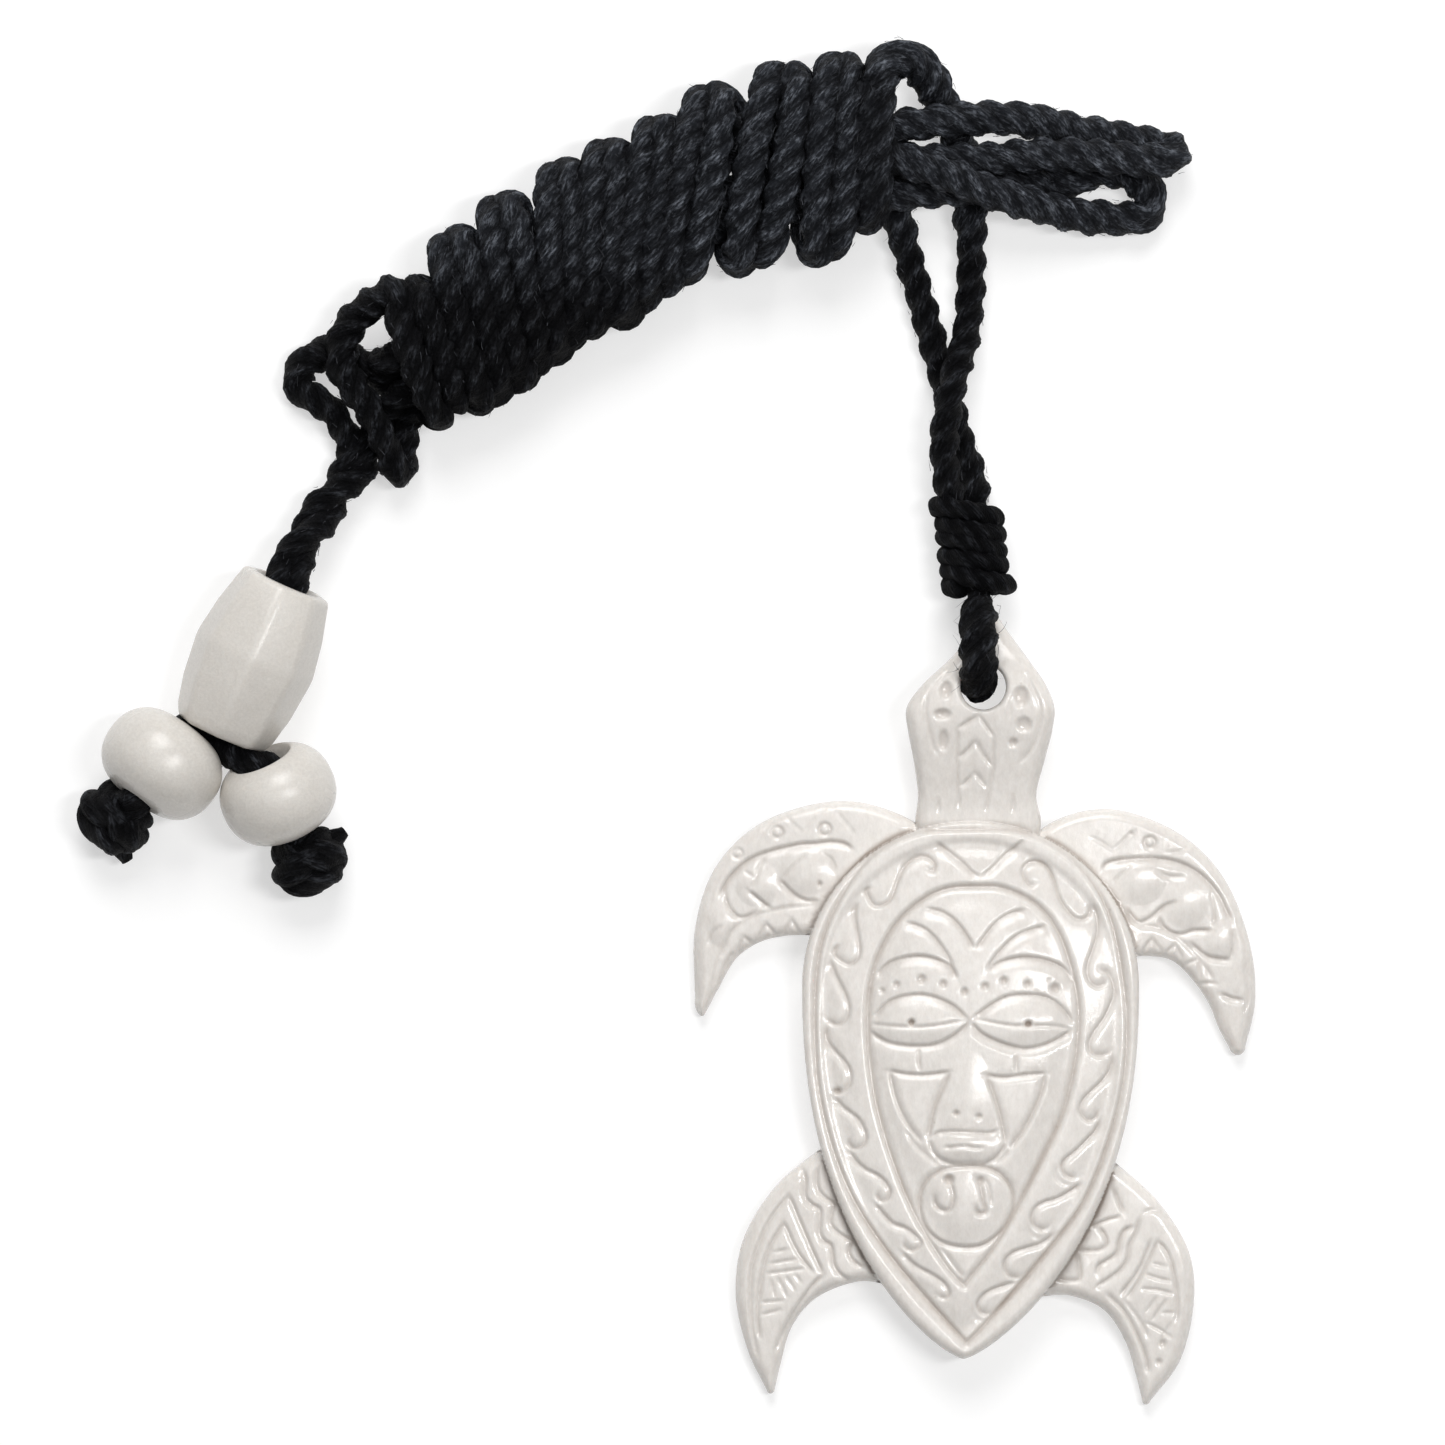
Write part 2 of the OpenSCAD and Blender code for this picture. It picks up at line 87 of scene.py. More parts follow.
def directions(line):
    """Which way a line goes at each of its points."""
    ahead = np.gradient(line, axis=0)
    return ahead / np.linalg.norm(ahead, axis=1)[:, None]


def smooth_route(points, step):
    """Points in millimetres at even steps along a smooth curve through the given ones."""
    points = np.asarray(points, float)
    ends = np.vstack([2 * points[0] - points[1], points, 2 * points[-1] - points[-2]])
    fine = []
    for a, b, c, d in zip(ends, ends[1:], ends[2:], ends[3:]):
        gaps = [max(np.linalg.norm(q - p), 1e-6) ** 0.5 for p, q in ((a, b), (b, c), (c, d))]
        knots = np.cumsum([0] + gaps)
        t = np.linspace(knots[1], knots[2], 24, endpoint=False)[:, None]

        def between(p, q, low, high):
            return ((high - t) * p + (t - low) * q) / (high - low)

        ab = between(a, b, knots[0], knots[1])
        bc = between(b, c, knots[1], knots[2])
        cd = between(c, d, knots[2], knots[3])
        fine.append(between(between(ab, bc, knots[0], knots[2]),
                            between(bc, cd, knots[1], knots[3]), knots[1], knots[2]))
    fine = np.vstack(fine + [points[-1:]])
    run = run_along(fine)
    places = np.linspace(0, run[-1], max(int(round(run[-1] / step)), 1) + 1)
    return np.column_stack([np.interp(places, run, fine[:, k]) for k in range(points.shape[1])])


def steady_frames(line):
    """Two directions across the line at each point, that turn as little as they can."""
    ahead = directions(line)
    side = np.zeros_like(line)
    start = np.cross(ahead[0], [0, 0, 1.0])
    if np.linalg.norm(start) < 0.1:
        start = np.cross(ahead[0], [1.0, 0, 0])
    side[0] = unit(start)
    for i in range(1, len(line)):
        side[i] = unit(side[i - 1] - ahead[i] * np.dot(side[i - 1], ahead[i]))
    return side, np.cross(ahead, side)


def new_piece(name, corners, faces):
    """A mesh object in the scene, from corners in millimetres."""
    mesh = bpy.data.meshes.new(name)
    mesh.from_pydata((np.array(corners) * MM).tolist(), [], faces)
    piece = bpy.data.objects.new(name, mesh)
    bpy.context.scene.collection.objects.link(piece)
    return piece


def rope(name, line, widths, lay_length, sides=rope_sides, start_turn=0.0, least=0.8, painted_hank_light=0.0):
    """A swept rope of three laid plies with closed ends. Each point keeps its length along the rope, its
    turn round it, its depth between the plies for the painted shade there and the painted light on the hank,
    for the cord's finish."""
    side, over = steady_frames(line)
    run = run_along(line)
    around = np.linspace(0, 2 * math.pi, sides, endpoint=False)
    angle = around[None, :] + (start_turn + 2 * math.pi * run / lay_length)[:, None]
    # The outline of three round plies that touch, its valleys filled up to the least size
    span = 2 * math.pi / 3
    off = (around + span / 2) % span - span / 2
    centre = 1 / (1 + math.sin(span / 2))
    size = (1 - centre) * np.sqrt(1 - np.minimum(centre / (1 - centre) * np.abs(np.sin(off)), 1) ** 2)
    size = np.maximum(size + centre * np.cos(off), least)
    # A rope is nowhere quite as thick as elsewhere
    uneven = 1 + 0.045 * np.sin(run * 1.9 + 0.7) * np.sin(run * 0.63) + 0.025 * np.sin(run * 3.7 + 1)
    radius = (widths / 2 * uneven)[:, None] * size[None, :]
    points = (line[:, None, :] + side[:, None, :] * (np.cos(angle) * radius)[:, :, None]
              + over[:, None, :] * (np.sin(angle) * radius)[:, :, None])
    count = len(line)
    first, last = count * sides, count * sides + 1
    faces = []
    for low in range(0, (count - 1) * sides, sides):
        for j in range(sides):
            k = (j + 1) % sides
            faces.append((low + j, low + k, low + sides + k, low + sides + j))
    for j in range(sides):
        k = (j + 1) % sides
        faces += [(first, k, j), (last, first - sides + j, first - sides + k)]
    piece = new_piece(name, np.vstack([points.reshape(-1, 3), line[:1], line[-1:]]), faces)
    per_point = {
        # How dark the painted shade between the plies is at each point
        "valley": np.tile((1 - size) / (1 - least), count),
        "along": np.repeat(run, sides) * MM,
        "spin": np.tile(off / span * 2, count),
        # How much painted light lifts the cord here, on the hank and its loops
        "painted_hank_light": np.repeat(painted_hank_light * np.ones(count), sides),
    }
    for key, values in per_point.items():
        values = np.concatenate([values, [values[:sides].mean(), values[-sides:].mean()]])
        piece.data.attributes.new(key, "FLOAT", "POINT").data.foreach_set("value", values)
    for polygon in piece.data.polygons:
        polygon.use_smooth = True
    return piece


# Through the hole in the head and the whipping, and up to the hank's first turn
hole_middle = [0.4, 26.05, 3.3]
front_strand = [
    hole_middle, [0.45, 26.4, 5.1], [0.45, 27.2, 5.95], [0.5, 28.2, 5.9], [0.5, 29.4, 5.4], [0.5, 30.1, 4.9],
    [0.5, 31.15, 3.6], [0.3, 33, 3.2], [-0.3, 35.5, 3.2], [-1.2, 37.85, 3], [-1.5, 39, 3],
    [-1.7, 41.6, 3], [-1.3, 44.2, 3.1], [-0.9, 46, 2.7], [-0.3, 48, 1.7], [0, 50.6, 1],
    [0, 56, 1], [-0.3, 59, 1], [-0.9, 61.2, 1], [-1.7, 62.8, 1.3], [-2.5, 64.3, 2.3],
    [-3.3, 65.4, 3.4], [-4.5, 65.9, 4.6], [-5.6, 65.2, 5.2],
]
back_strand = [
    hole_middle, [0.45, 26.2, 2.4], [0.5, 26.7, 1.5], [0.5, 27.5, 1.15], [0.5, 31.15, 1.2],
    [0.5, 33, 1.5], [0.6, 35.5, 1.6], [0.4, 37.9, 1.4], [0.1, 39.4, 1.05], [-0.65, 41.6, 1],
    [-2.1, 46.8, 1], [-3, 50, 1], [-4.7, 56, 1], [-5.4, 59, 1], [-5.9, 61.3, 1],
    [-6.1, 62.8, 1.2], [-6.3, 63.8, 2.2], [-6.4, 64, 3.4], [-6.5, 63.4, 4.6],
]

# The hank's turns from right to left, each [top x, top y, bottom x, bottom y] of its outer edge
hank_turns = [
    [-6, 66.8, -6.4, 55.0], [-8.3, 66.2, -9.2, 52.9], [-11.8, 65.7, -14, 52.6], [-16.5, 64.2, -18.8, 51.4],
    [-19.9, 62.2, -21.6, 49.4], [-23.2, 60.7, -23.8, 48.6], [-26.2, 59.4, -25.9, 47.2],
    [-30.2, 57.2, -28, 45.4], [-33.4, 54.9, -30.3, 43.7], [-36.3, 51.7, -33, 42.4],
]
hank_t = 6.6


def hank_strand(side):
    """One strand of the doubled turns, on the right (1) or the left (-1) of its pair."""
    points = []
    turns = np.array(hank_turns)
    for i, here in enumerate(turns):
        low, high = max(i - 1, 0), min(i + 1, len(turns) - 1)
        spine = (turns[high] - turns[low]) / (high - low)
        along = np.array([spine[0] + spine[2], spine[1] + spine[3]]) / 2
        spacing = np.linalg.norm(along)
        # Half the way between the pair's strands, about a quarter of that to the next turn
        shift = -along / spacing * side * min(max(spacing * 0.265, 0.85), 1.34)
        if i == 0:
            shift *= 0.35
        # Down over the front, and up again at the back to the top of the next turn
        for way, top in ((1, here[:2]), (-1, turns[high][:2])):
            if way < 0 and i == len(turns) - 1:
                continue
            centre = (top + here[2:]) / 2 + shift
            half = (top - here[2:]) / 2
            half = half * (1 - over_plies / 2 / np.linalg.norm(half))
            for angle in range(0, 180, 20):
                if i == 0 and way > 0 and angle < 50:
                    continue
                s, c = way * math.cos(math.radians(angle)), way * math.sin(math.radians(angle))
                s, c = (math.copysign(abs(v) ** 0.75, v) for v in (s, c))
                at = centre + half * s * (1 - 0.025 * side) - shift * 0.42 * s ** 4
                points.append([at[0], at[1], hank_t / 2 + (hank_t - over_plies) / 2 * c])
    return points


# The core: four runs inside the turns. Two loops come out of their right end, and at their left
# end the strands fold back in and go off to the tail.
core_right_a = [[-32, 47.4, 3.2], [-26, 51.8, 3.3], [-19, 55.6, 3.3], [-12, 58.2, 3.3]]
core_left_a = [[-12, 61, 3.3], [-19, 58.6, 3.3], [-26, 54.6, 3.3], [-33, 48.9, 3.3]]
core_right_b = [[-33, 49.6, 3.5], [-26, 55.8, 3.4], [-19, 59.6, 3.5], [-12, 62, 3.9]]
core_left_b = [[-12, 56.8, 3.1], [-19, 54.4, 3.1], [-26, 50.6, 3.1], [-32.5, 46, 3]]
upper_loop = [
    [-6.4, 61.2, 3], [-4, 61.65, 3], [-1.5, 61.95, 3], [1.9, 62.1, 2.5], [4.5, 61.85, 1.7],
    [7, 61.3, 1.2], [9.9, 60.8, 1.2], [12, 60.4, 1.2], [12.9, 60.1, 1.6], [12.9, 59.7, 2.4],
    [12.2, 59.4, 2.9], [9.6, 59.5, 3.1], [6.5, 59.75, 3.1], [3.8, 59.7, 3], [1, 59.45, 2.9],
    [-1.9, 59.35, 3], [-6.4, 59.4, 3],
]
lower_loop = [
    [-6.4, 60.3, 4.8], [-4.8, 59.5, 4.8], [-1.9, 58.6, 4.7], [1.3, 57.3, 4.2], [4.2, 56.5, 3],
    [6.7, 55.9, 1.9], [9, 55.75, 1.2], [10.7, 55.8, 1.15], [11.5, 56.3, 1.15], [11.4, 57.3, 1.15],
    [10.7, 58.2, 1.2], [9.4, 58.75, 1.2], [7.8, 58.75, 1.2], [6.6, 58.2, 1.2], [5.4, 58, 1.25],
    [3.4, 57.9, 1.7], [1, 57.6, 2.6], [-2.4, 57.5, 2.8], [-6.4, 57, 2.9],
]
end_turn = [
    [-37.6, 50.6, 4.1], [-38.8, 49.8, 3.3], [-39.8, 48.6, 2.9], [-40.15, 47.2, 2.8],
    [-40, 46, 2.9], [-39.4, 44.9, 3], [-38.6, 43.8, 3], [-37.9, 42.5, 3], [-37.3, 41.1, 2.9],
    [-36.9, 40, 2.6], [-36.5, 39.45, 1.9], [-36.2, 40, 1.2], [-36.2, 41.3, 1.15],
    [-36, 42.7, 1.3], [-35.2, 44.3, 2.4], [-34, 45.9, 3],
]
end_loop = [
    [-36.5, 46.9, 2.6], [-38.4, 46.3, 1.6], [-39.6, 46.7, 1.1], [-40.7, 47.15, 1], [-41.7, 47, 1],
    [-42.6, 46.4, 1], [-43, 45.2, 1], [-42.3, 44.4, 1], [-41.4, 43.9, 1], [-40.5, 43, 1],
    [-39.9, 41.9, 1], [-39.6, 40.9, 1],
]
back_in = [
    [-35.6, 44.2, 1.15], [-37.1, 45.1, 1.15], [-37.6, 46, 2], [-36.8, 46.7, 3.6], [-35.4, 47.6, 3.8],
]
core_exit = [[-35.9, 44.7, 3], [-37.2, 43.6, 1.8], [-38, 42.3, 1.15], [-38.5, 41.1, 1.1]]

# The twisted tail, through the barrel bead
tail_axis = [[-39.35, 39.7, 1.3], [-40.5, 38.2, 1.75], [-42, 36, 2.6], [-43.2, 33.8, 3.9]]
tail_r = 0.5
barrel_high = np.array([-43.6, 32.4, 4.6])
barrel_l = 10.6
barrel_tilt = math.radians(5)
barrel_turn = math.radians(24)
barrel_dir = np.array([
    -math.sin(barrel_turn) * math.cos(barrel_tilt), -math.cos(barrel_turn) * math.cos(barrel_tilt),
    -math.sin(barrel_tilt),
])
barrel_low = barrel_high + barrel_l * barrel_dir


def tail_strand(start):
    """One of the two strands that turn once round each other on the way to the barrel bead."""
    axis = smooth_route(tail_axis, 0.75)
    points = []
    for i, (at, way) in enumerate(zip(axis, np.gradient(axis, axis=0))):
        across, over = level_frame(unit(way))
        a = start + 2 * math.pi * i / (len(axis) - 1)
        points.append(at + (across * math.cos(a) + over * math.sin(a)) * tail_r)
    across, over = level_frame(barrel_dir)
    shift = (across * math.cos(start) + over * math.sin(start)) * tail_r
    return points + [barrel_high + barrel_dir * 0.5 + shift, barrel_low - barrel_dir * 1.5 + shift]


# The side beads and the knots beyond them
side_bead_t = 5.6
knot_d = 4.8
knot_l = 3.2
knot_gap = 0.2
knot_place = side_bead_t / 2 + knot_gap + knot_l / 2


def bore_dir(turn, bead_d):
    """Which way a side bead's bore goes: its turn in the plane, and its fall to the knot."""
    fall = math.asin((bead_d - knot_d) / 2 / knot_place)
    turn = math.radians(turn)
    return np.array([math.cos(turn) * math.cos(fall), math.sin(turn) * math.cos(fall), -math.sin(fall)])


left_bead_d = 8.0
right_bead_d = 7.5
left_bead_at = np.array([-51.6, 20.9, left_bead_d / 2])
left_bead_dir = bore_dir(229, left_bead_d)
left_bore = unit(np.array([math.cos(math.radians(234)), math.sin(math.radians(234)), 0.16]))
right_bead_at = np.array([-44.2, 18.95, right_bead_d / 2])
right_bead_dir = bore_dir(294, right_bead_d)
left_end = [
    [-48.7, 22.9, 3.6], left_bead_at - left_bore * side_bead_t * 0.55, left_bead_at,
    left_bead_at + left_bore * side_bead_t * 0.45, left_bead_at + left_bead_dir * knot_place,
]
right_end = [
    [-47.2, 21.9, 3.75], [-46.5, 21.2, 4.1], right_bead_at - right_bead_dir * side_bead_t * 0.3,
    right_bead_at, right_bead_at + right_bead_dir * side_bead_t * 0.5,
    right_bead_at + right_bead_dir * knot_place,
]

cord_a = (
    front_strand + hank_strand(1) + [[-36.6, 50.9, 4.9]] + end_turn + core_right_a
    + upper_loop[::-1] + core_left_a + end_loop + tail_strand(math.pi) + left_end
)
cord_b = (
    back_strand + hank_strand(-1) + back_in + core_right_b
    + lower_loop + core_left_b + core_exit + tail_strand(0) + right_end
)


def softly(values):
    """The same values with their jumps spread over about two millimetres of the cord."""
    return np.convolve(np.pad(values, 4, mode="edge"), np.ones(9) / 9, mode="valid")


# How thick a strand is along its way: thinner where the whipping squeezes it, thicker where it
# swells out of the whipping, in the turns, in the loops and past the barrel bead
cords = []
cord_widths = []
for name, points, first_turn in (("cord_a", cord_a, 0.6), ("cord_b", cord_b, 1.9)):
    line = smooth_route(points, rope_step)
    x, y, z = line.T
    left_half = np.clip(-5 - x, 0, 1)
    squeezed = np.clip(np.minimum(y - 31, 38.2 - y) / 0.8, 0, 1) * (1 - left_half)
    on_head = np.clip((31.2 - y) / 0.6, 0, 1) * (1 - left_half)
    wound = np.clip((y - 43) / 3, 0, 1) * left_half
    in_loops = np.clip((y - 54) / 1.5, 0, 1) * (1 - left_half)
    at_peak = np.clip(y - 63, 0, 1) * np.clip(x + 7, 0, 1)
    past_barrel = np.clip((23.8 - y) / 1.2, 0, 1) * left_half
    from_middle = np.abs(y - 60.9 - 0.5 * (x + 6))
    in_core = (from_middle < 3.8) & (np.abs(z - 3.3) < 0.8) & (x > -31.5) & (x < -9)
    if name == "cord_b":
        on_head = on_head * 0.2
        past_barrel = past_barrel * 0.9
    widths = (over_plies - 0.6 * squeezed + 0.62 * on_head + 0.36 * wound + 0.42 * in_loops
              + 0.3 * at_peak + 0.4 * past_barrel + softly(in_core * 0.9))
    line[:, 2] = np.maximum(z, widths * 0.52)
    # Painted light: the hank and its loops are lifted to a greyer tone for the light their turns catch
    hank_light_here = np.clip((y - 39.5) / 4, 0, 1) * np.clip((y - 53) / 3 + (x < -5), 0, 1)
    piece = rope(name, line, widths, lay, start_turn=first_turn, painted_hank_light=hank_light_here)
    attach(piece, "root")
    cords.append((piece, line, float(np.linalg.norm(np.diff(line, axis=0), axis=1).sum()) * MM))
    cord_widths.append(widths)

# Where two strands lie side by side, painted shade makes the cord as dark between them as between its plies.
# The
# # points of the same strand that are up to a few steps away don't count as neighbours.
neighbour_reach = 1.75
own_points = 20
darkest = 1.15
dark_gap = 0.42
all_points = np.vstack([line for piece, line, length in cords])
all_widths = np.concatenate(cord_widths)
near = KDTree(len(all_points))
for i, point in enumerate(all_points):
    near.insert(point, i)
near.balance()
start = 0
for piece, line, length in cords:
    depth = piece.data.attributes["valley"].data
    painted_hank_light = piece.data.attributes["painted_hank_light"].data
    for n, corner in enumerate(piece.data.vertices[:len(line) * rope_sides]):
        own = start + n // rope_sides
        gap = min((far - all_widths[i] / 2
                   for at, i, far in near.find_range(corner.co / MM, neighbour_reach)
                   if abs(i - own) > own_points), default=9)
        # Painted shade: the darker of the ply shade, weaker on the hank, and the shade of a strand close by
        ply_shade = depth[n].value * (1 - 0.3 * painted_hank_light[n].value)
        depth[n].value = max(ply_shade, min(1, darkest - gap / dark_gap))
    start += len(line)

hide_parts("bail_cord", "right_leg", "upper_loop", "end_turn", "end_loop", "left_tail", "hank")
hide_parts("left_leg", "lower_loop", "right_tail", "hank")

# Cotton lies in fine fibres that run aslant in each ply, with painted shade between the plies, and a little
# # greyer and drier on top of them. Painted light lifts the hank and its loops to a greyer tone.


def plug(node, *sources, **named):
    """Links the inputs of a node, in order or by name, or sets them where a value is given."""
    pairs = list(zip(node.inputs, sources))
    pairs += [(node.inputs[key.replace("_", " ")], source) for key, source in named.items()]
    for socket, source in pairs:
        if isinstance(source, bpy.types.NodeSocket):
            node.id_data.links.new(source, socket)
        else:
            socket.default_value = source
    return node


def add(tree, kind, *sources, operation=None, take=0, **named):
    """Adds a node to a tree, plugs it, and gives back the output that is taken from it."""
    node = tree.nodes.new("ShaderNode" + kind)
    if operation:
        node.operation = operation
    return plug(node, *sources, **named).outputs[take]


def product(tree, one, other):
    return add(tree, "Math", one, other, operation="MULTIPLY")


def blend(tree, factor, one, other):
    """One colour turned into another by a factor."""
    node = tree.nodes.new("ShaderNodeMix")
    node.data_type = "RGBA"
    return plug(node, Factor=factor, A=one, B=other).outputs["Result"]


def ramp(tree, factor, *stops):
    """A colour between two, each of them given after the factor that it stands at."""
    node = plug(tree.nodes.new("ShaderNodeValToRGB"), factor)
    for element, (place, colour) in zip(node.color_ramp.elements, stops):
        element.position = place
        element.color = colour
    return node.outputs["Color"]


def read(tree, name):
    """The value that the points of a mesh keep under a name."""
    node = tree.nodes.new("ShaderNodeAttribute")
    node.attribute_name = name
    return node.outputs["Fac"]


def new_finish(name, **numbers):
    """A material with its node tree and its shader, and with numbers set on the shader."""
    material = bpy.data.materials.new(name)
    material.use_nodes = True
    tree = material.node_tree
    return material, tree, plug(tree.nodes["Principled BSDF"], **numbers)


cord_finish, tree, shader = new_finish("black waxed cotton", Roughness=0.6, Specular_IOR_Level=0.11)
valley, along, spin, painted_hank_light = (read(tree, name) for name in ("valley", "along", "spin", "painted_hank_light"))
slant = add(tree, "Math", along, 1500, product(tree, spin, 2.6), operation="MULTIPLY_ADD")
fibre_place = add(tree, "CombineXYZ", slant, product(tree, along, 800))
fibres = add(tree, "TexNoise", fibre_place, Scale=2, Detail=4, Roughness=0.7)
place = add(tree, "TexCoord", take="Object")
lint = add(tree, "TexNoise", place, Scale=1300, Detail=4, Roughness=0.6)
fleck = add(tree, "MapRange", fibres, 0.46, 0.7, 0, 1)
mottle = add(tree, "MapRange", lint, 0.38, 0.62, 0.12, 1)
# Painted light on the hank and its loops lifts the flecks and the ground colour to grey
fleck_light = add(tree, "MapRange", painted_hank_light, 0, 1, 0.27, 1)
seen = product(tree, product(tree, fleck, mottle), fleck_light)
ground = blend(tree, painted_hank_light, (0.0016, 0.0016, 0.0024, 1), (0.017, 0.0192, 0.0242, 1))
tone = blend(tree, seen, ground, (0.29, 0.315, 0.365, 1))
# Painted shade between the plies and between touching strands, a little weaker on the hank
painted_shade = product(tree, valley, add(tree, "MapRange", painted_hank_light, 0, 1, 0.85, 0.8))
rough = add(tree, "Math", fibres, lint, operation="ADD")
plug(shader, Base_Color=blend(tree, painted_shade, tone, (0.0012, 0.0012, 0.0018, 1)),
     Normal=add(tree, "Bump", Strength=1, Distance=0.0004, Height=rough))
for piece, line, length in cords:
    piece.data.materials.append(cord_finish)

# Loose fibres on the cord: short hairs of cotton that lie along it, and a few that stand off it
# where it is rubbed, round the hole in the head
hairs_lying = 1250  # on each strand
rubbed_points = 30  # from the hole on, with a hair standing off every third of them
hair_r = 0.025
hair_rings = 5
chance = np.random.RandomState(11)
fibre_points, fibre_faces = [], []
for (piece, line, length), widths in zip(cords, cord_widths):
    ahead = directions(line)
    lying = chance.choice(len(line) - 8, hairs_lying, replace=False) + 4
    for i in np.concatenate([lying, np.arange(6, rubbed_points, 3)]):
        rubbed = i < rubbed_points
        out = unit(np.cross(ahead[i], chance.normal(size=3)))
        long = chance.uniform(0.25, 0.6) * (1.9 if rubbed else 1)
        bend = chance.normal(size=3) * 0.25
        start = line[i] + out * widths[i] / 2 * 0.96
        way = unit(ahead[i] * chance.choice([-1, 1]) + np.cross(out, ahead[i]) * chance.uniform(-0.5, 0.5)
                   + out * (chance.uniform(0.3, 1.2) if rubbed else chance.uniform(0, 0.06)))
        first = len(fibre_points)
        for s in np.arange(hair_rings) / (hair_rings - 1):
            at = start + way * long * s + bend * long * s * s
            at[2] = max(at[2], 0.03)
            for side in range(3):
                a = 2 * math.pi * side / 3
                fibre_points.append(at + (out * math.cos(a) + np.cross(way, out) * math.sin(a))
                                    * hair_r * (1 - 0.6 * s))
        last = len(fibre_points) - 3
        for low in range(first, last, 3):
            for side in range(3):
                n = (side + 1) % 3
                fibre_faces.append((low + side, low + n, low + 3 + n, low + 3 + side))
        fibre_faces += [(first + 2, first + 1, first), (last, last + 1, last + 2)]
fibre_piece = new_piece("loose_fibres", fibre_points, fibre_faces)
hair_finish, tree, shader = new_finish("cotton hair", Roughness=0.8)
noise = add(tree, "TexNoise", add(tree, "TexCoord", take="Object"), Scale=700)
plug(shader, Base_Color=ramp(tree, noise, (0, (0.006, 0.0065, 0.008, 1)), (1, (0.075, 0.08, 0.094, 1))))
fibre_piece.data.materials.append(hair_finish)
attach(fibre_piece, "root")

# The whipping: six turns of thinner cord wound tight round both strands above the head, its two
# ends tucked under so that they bulge at the lower right and the upper left
whip_low = np.array([0.4, 31.55, 2.45])
whip_high = np.array([-0.2, 37.6, 2.4])
whip_thread = 1.4
whip_turns = 5.9
whip_r = 1.64
# Where the two ends are tucked under: how far round, how far they push the thread out, how wide
whip_bulges = ((1.0, 0.4, 0.16), (5.5, 0.3, 0.13))
points = []
for turn in np.arange(0.35, whip_turns, 1 / 14):
    angle = 2 * math.pi * turn
    at = whip_low + (whip_high - whip_low) * (turn / whip_turns)
    reach = whip_r
    for middle, push, wide in whip_bulges:
        reach += push * math.exp(-((turn - middle) / wide) ** 2)
    at[1] += 0.09 * math.sin(turn * 4.1) + 0.06 * math.sin(turn * 9.7)
    points.append([at[0] + reach * math.cos(angle), at[1] - 0.15 * math.cos(angle),
                   at[2] + whip_r * math.sin(angle)])
route = smooth_route(points, 0.14)
whipping = rope("whipping_turns", route, np.full(len(route), whip_thread), 3, sides=18, least=0.86)
whipping.data.materials.append(cord_finish)
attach(whipping, "root")
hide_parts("whipping")

# The turtle: one piece of bone, sawn to its outline, its edges rounded over, the pattern cut with
# small gravers and the whole polished. Its surface is worked out as a height at each point of a
# fine grid, first the domed forms and then each cut, and closed with walls and an underside.
bone_step = 0.085
bone_low = np.array([-18.2, -20.4])
bone_high = np.array([18.7, 30.8])
grid_x, grid_y = np.meshgrid(
    np.arange(bone_low[0], bone_high[0], bone_step), np.arange(bone_low[1], bone_high[1], bone_step))

# Across, top, bottom, widest place, and the bend of the lower flanks, as in the part's source
shell_edge = [10.75, 17.2, -17.1, 6.7, 2.3, 0.75, -0.45]
face_oval = [6.8, 13.1, -12, 4.8, 2, 0.9, -0.6]
# Height over the shell: place 0 is its edge, 1 the face's oval and 2 the middle of the face
shell_profile = [[0, 3.95], [0.22, 3.95], [0.35, 3.8], [0.6, 4.05], [0.95, 4.3], [1.05, 4.3],
                 [1.25, 4.65], [1.5, 4.85], [1.75, 4.95], [2, 5]]
# Outer and inner edge of each flipper from root to tip, and its height there
flippers = [
    ([[-1, 15], [-4, 17.4], [-7.8, 18.5], [-11.8, 17.8], [-14.5, 16.3], [-16.5, 13.9], [-17.6, 10.3],
      [-17.6, 5.9]],
     [[-4, 9], [-7, 9.6], [-9.6, 9.9], [-11.7, 9.9], [-13.4, 9.5], [-14.9, 8.5], [-16.1, 6.5],
      [-16.9, 5]], 3.0, 1.5),
    ([[2, 14], [5, 17], [8.6, 18], [12.3, 17], [14.8, 15.3], [16.6, 12.9], [18, 8.8], [18.2, 5.5],
      [17.6, 2.8]],
     [[4, 8], [7, 8.2], [9.5, 8.5], [11.4, 8.6], [12.9, 8.3], [14.2, 7.1], [15.3, 5.5], [15.9, 4],
      [16.6, 2.7]], 3.0, 1.5),
    ([[-6, -1], [-9.8, -3.9], [-12.4, -6.1], [-14.5, -9.5], [-15, -13], [-14.2, -16.7], [-13, -19.2]],
     [[-2, -9], [-4.4, -12.2], [-7.2, -12.2], [-9.9, -13.3], [-11.4, -15.1], [-12.1, -17.4],
      [-12.5, -19.1]], 2.9, 1.4),
    ([[6, -2], [9.5, -4.8], [12.1, -7.2], [14, -10.4], [14.3, -13.4], [13.4, -17.3], [11.5, -19.9]],
     [[1, -9], [3.6, -12.9], [6.4, -13.1], [8.5, -14], [9.9, -16], [10.6, -18.2], [11, -19.8]], 2.9, 1.4),
]
# The head, row by row: how far up, left and right edge, underside and top
head_rows = [
    [14, -3, 4, 0, 3.3], [17.2, -3.5, 4.5, 0, 3.4], [18.8, -3.35, 4.2, 0.3, 3.6],
    [21.2, -3.65, 4.75, 1.4, 4.1], [23, -4, 5.2, 2.0, 4.5], [24.4, -4.1, 5.35, 2.3, 4.7],
    [25.8, -3.2, 4.85, 2.3, 4.7], [27.8, -1.1, 3.5, 2.3, 4.4], [29.3, 0, 2.4, 2.3, 3.8],
    [30.2, 0.6, 1.8, 2.3, 3.1],
]
head_hole = [0.8, 25.8]
head_hole_r = 1.45

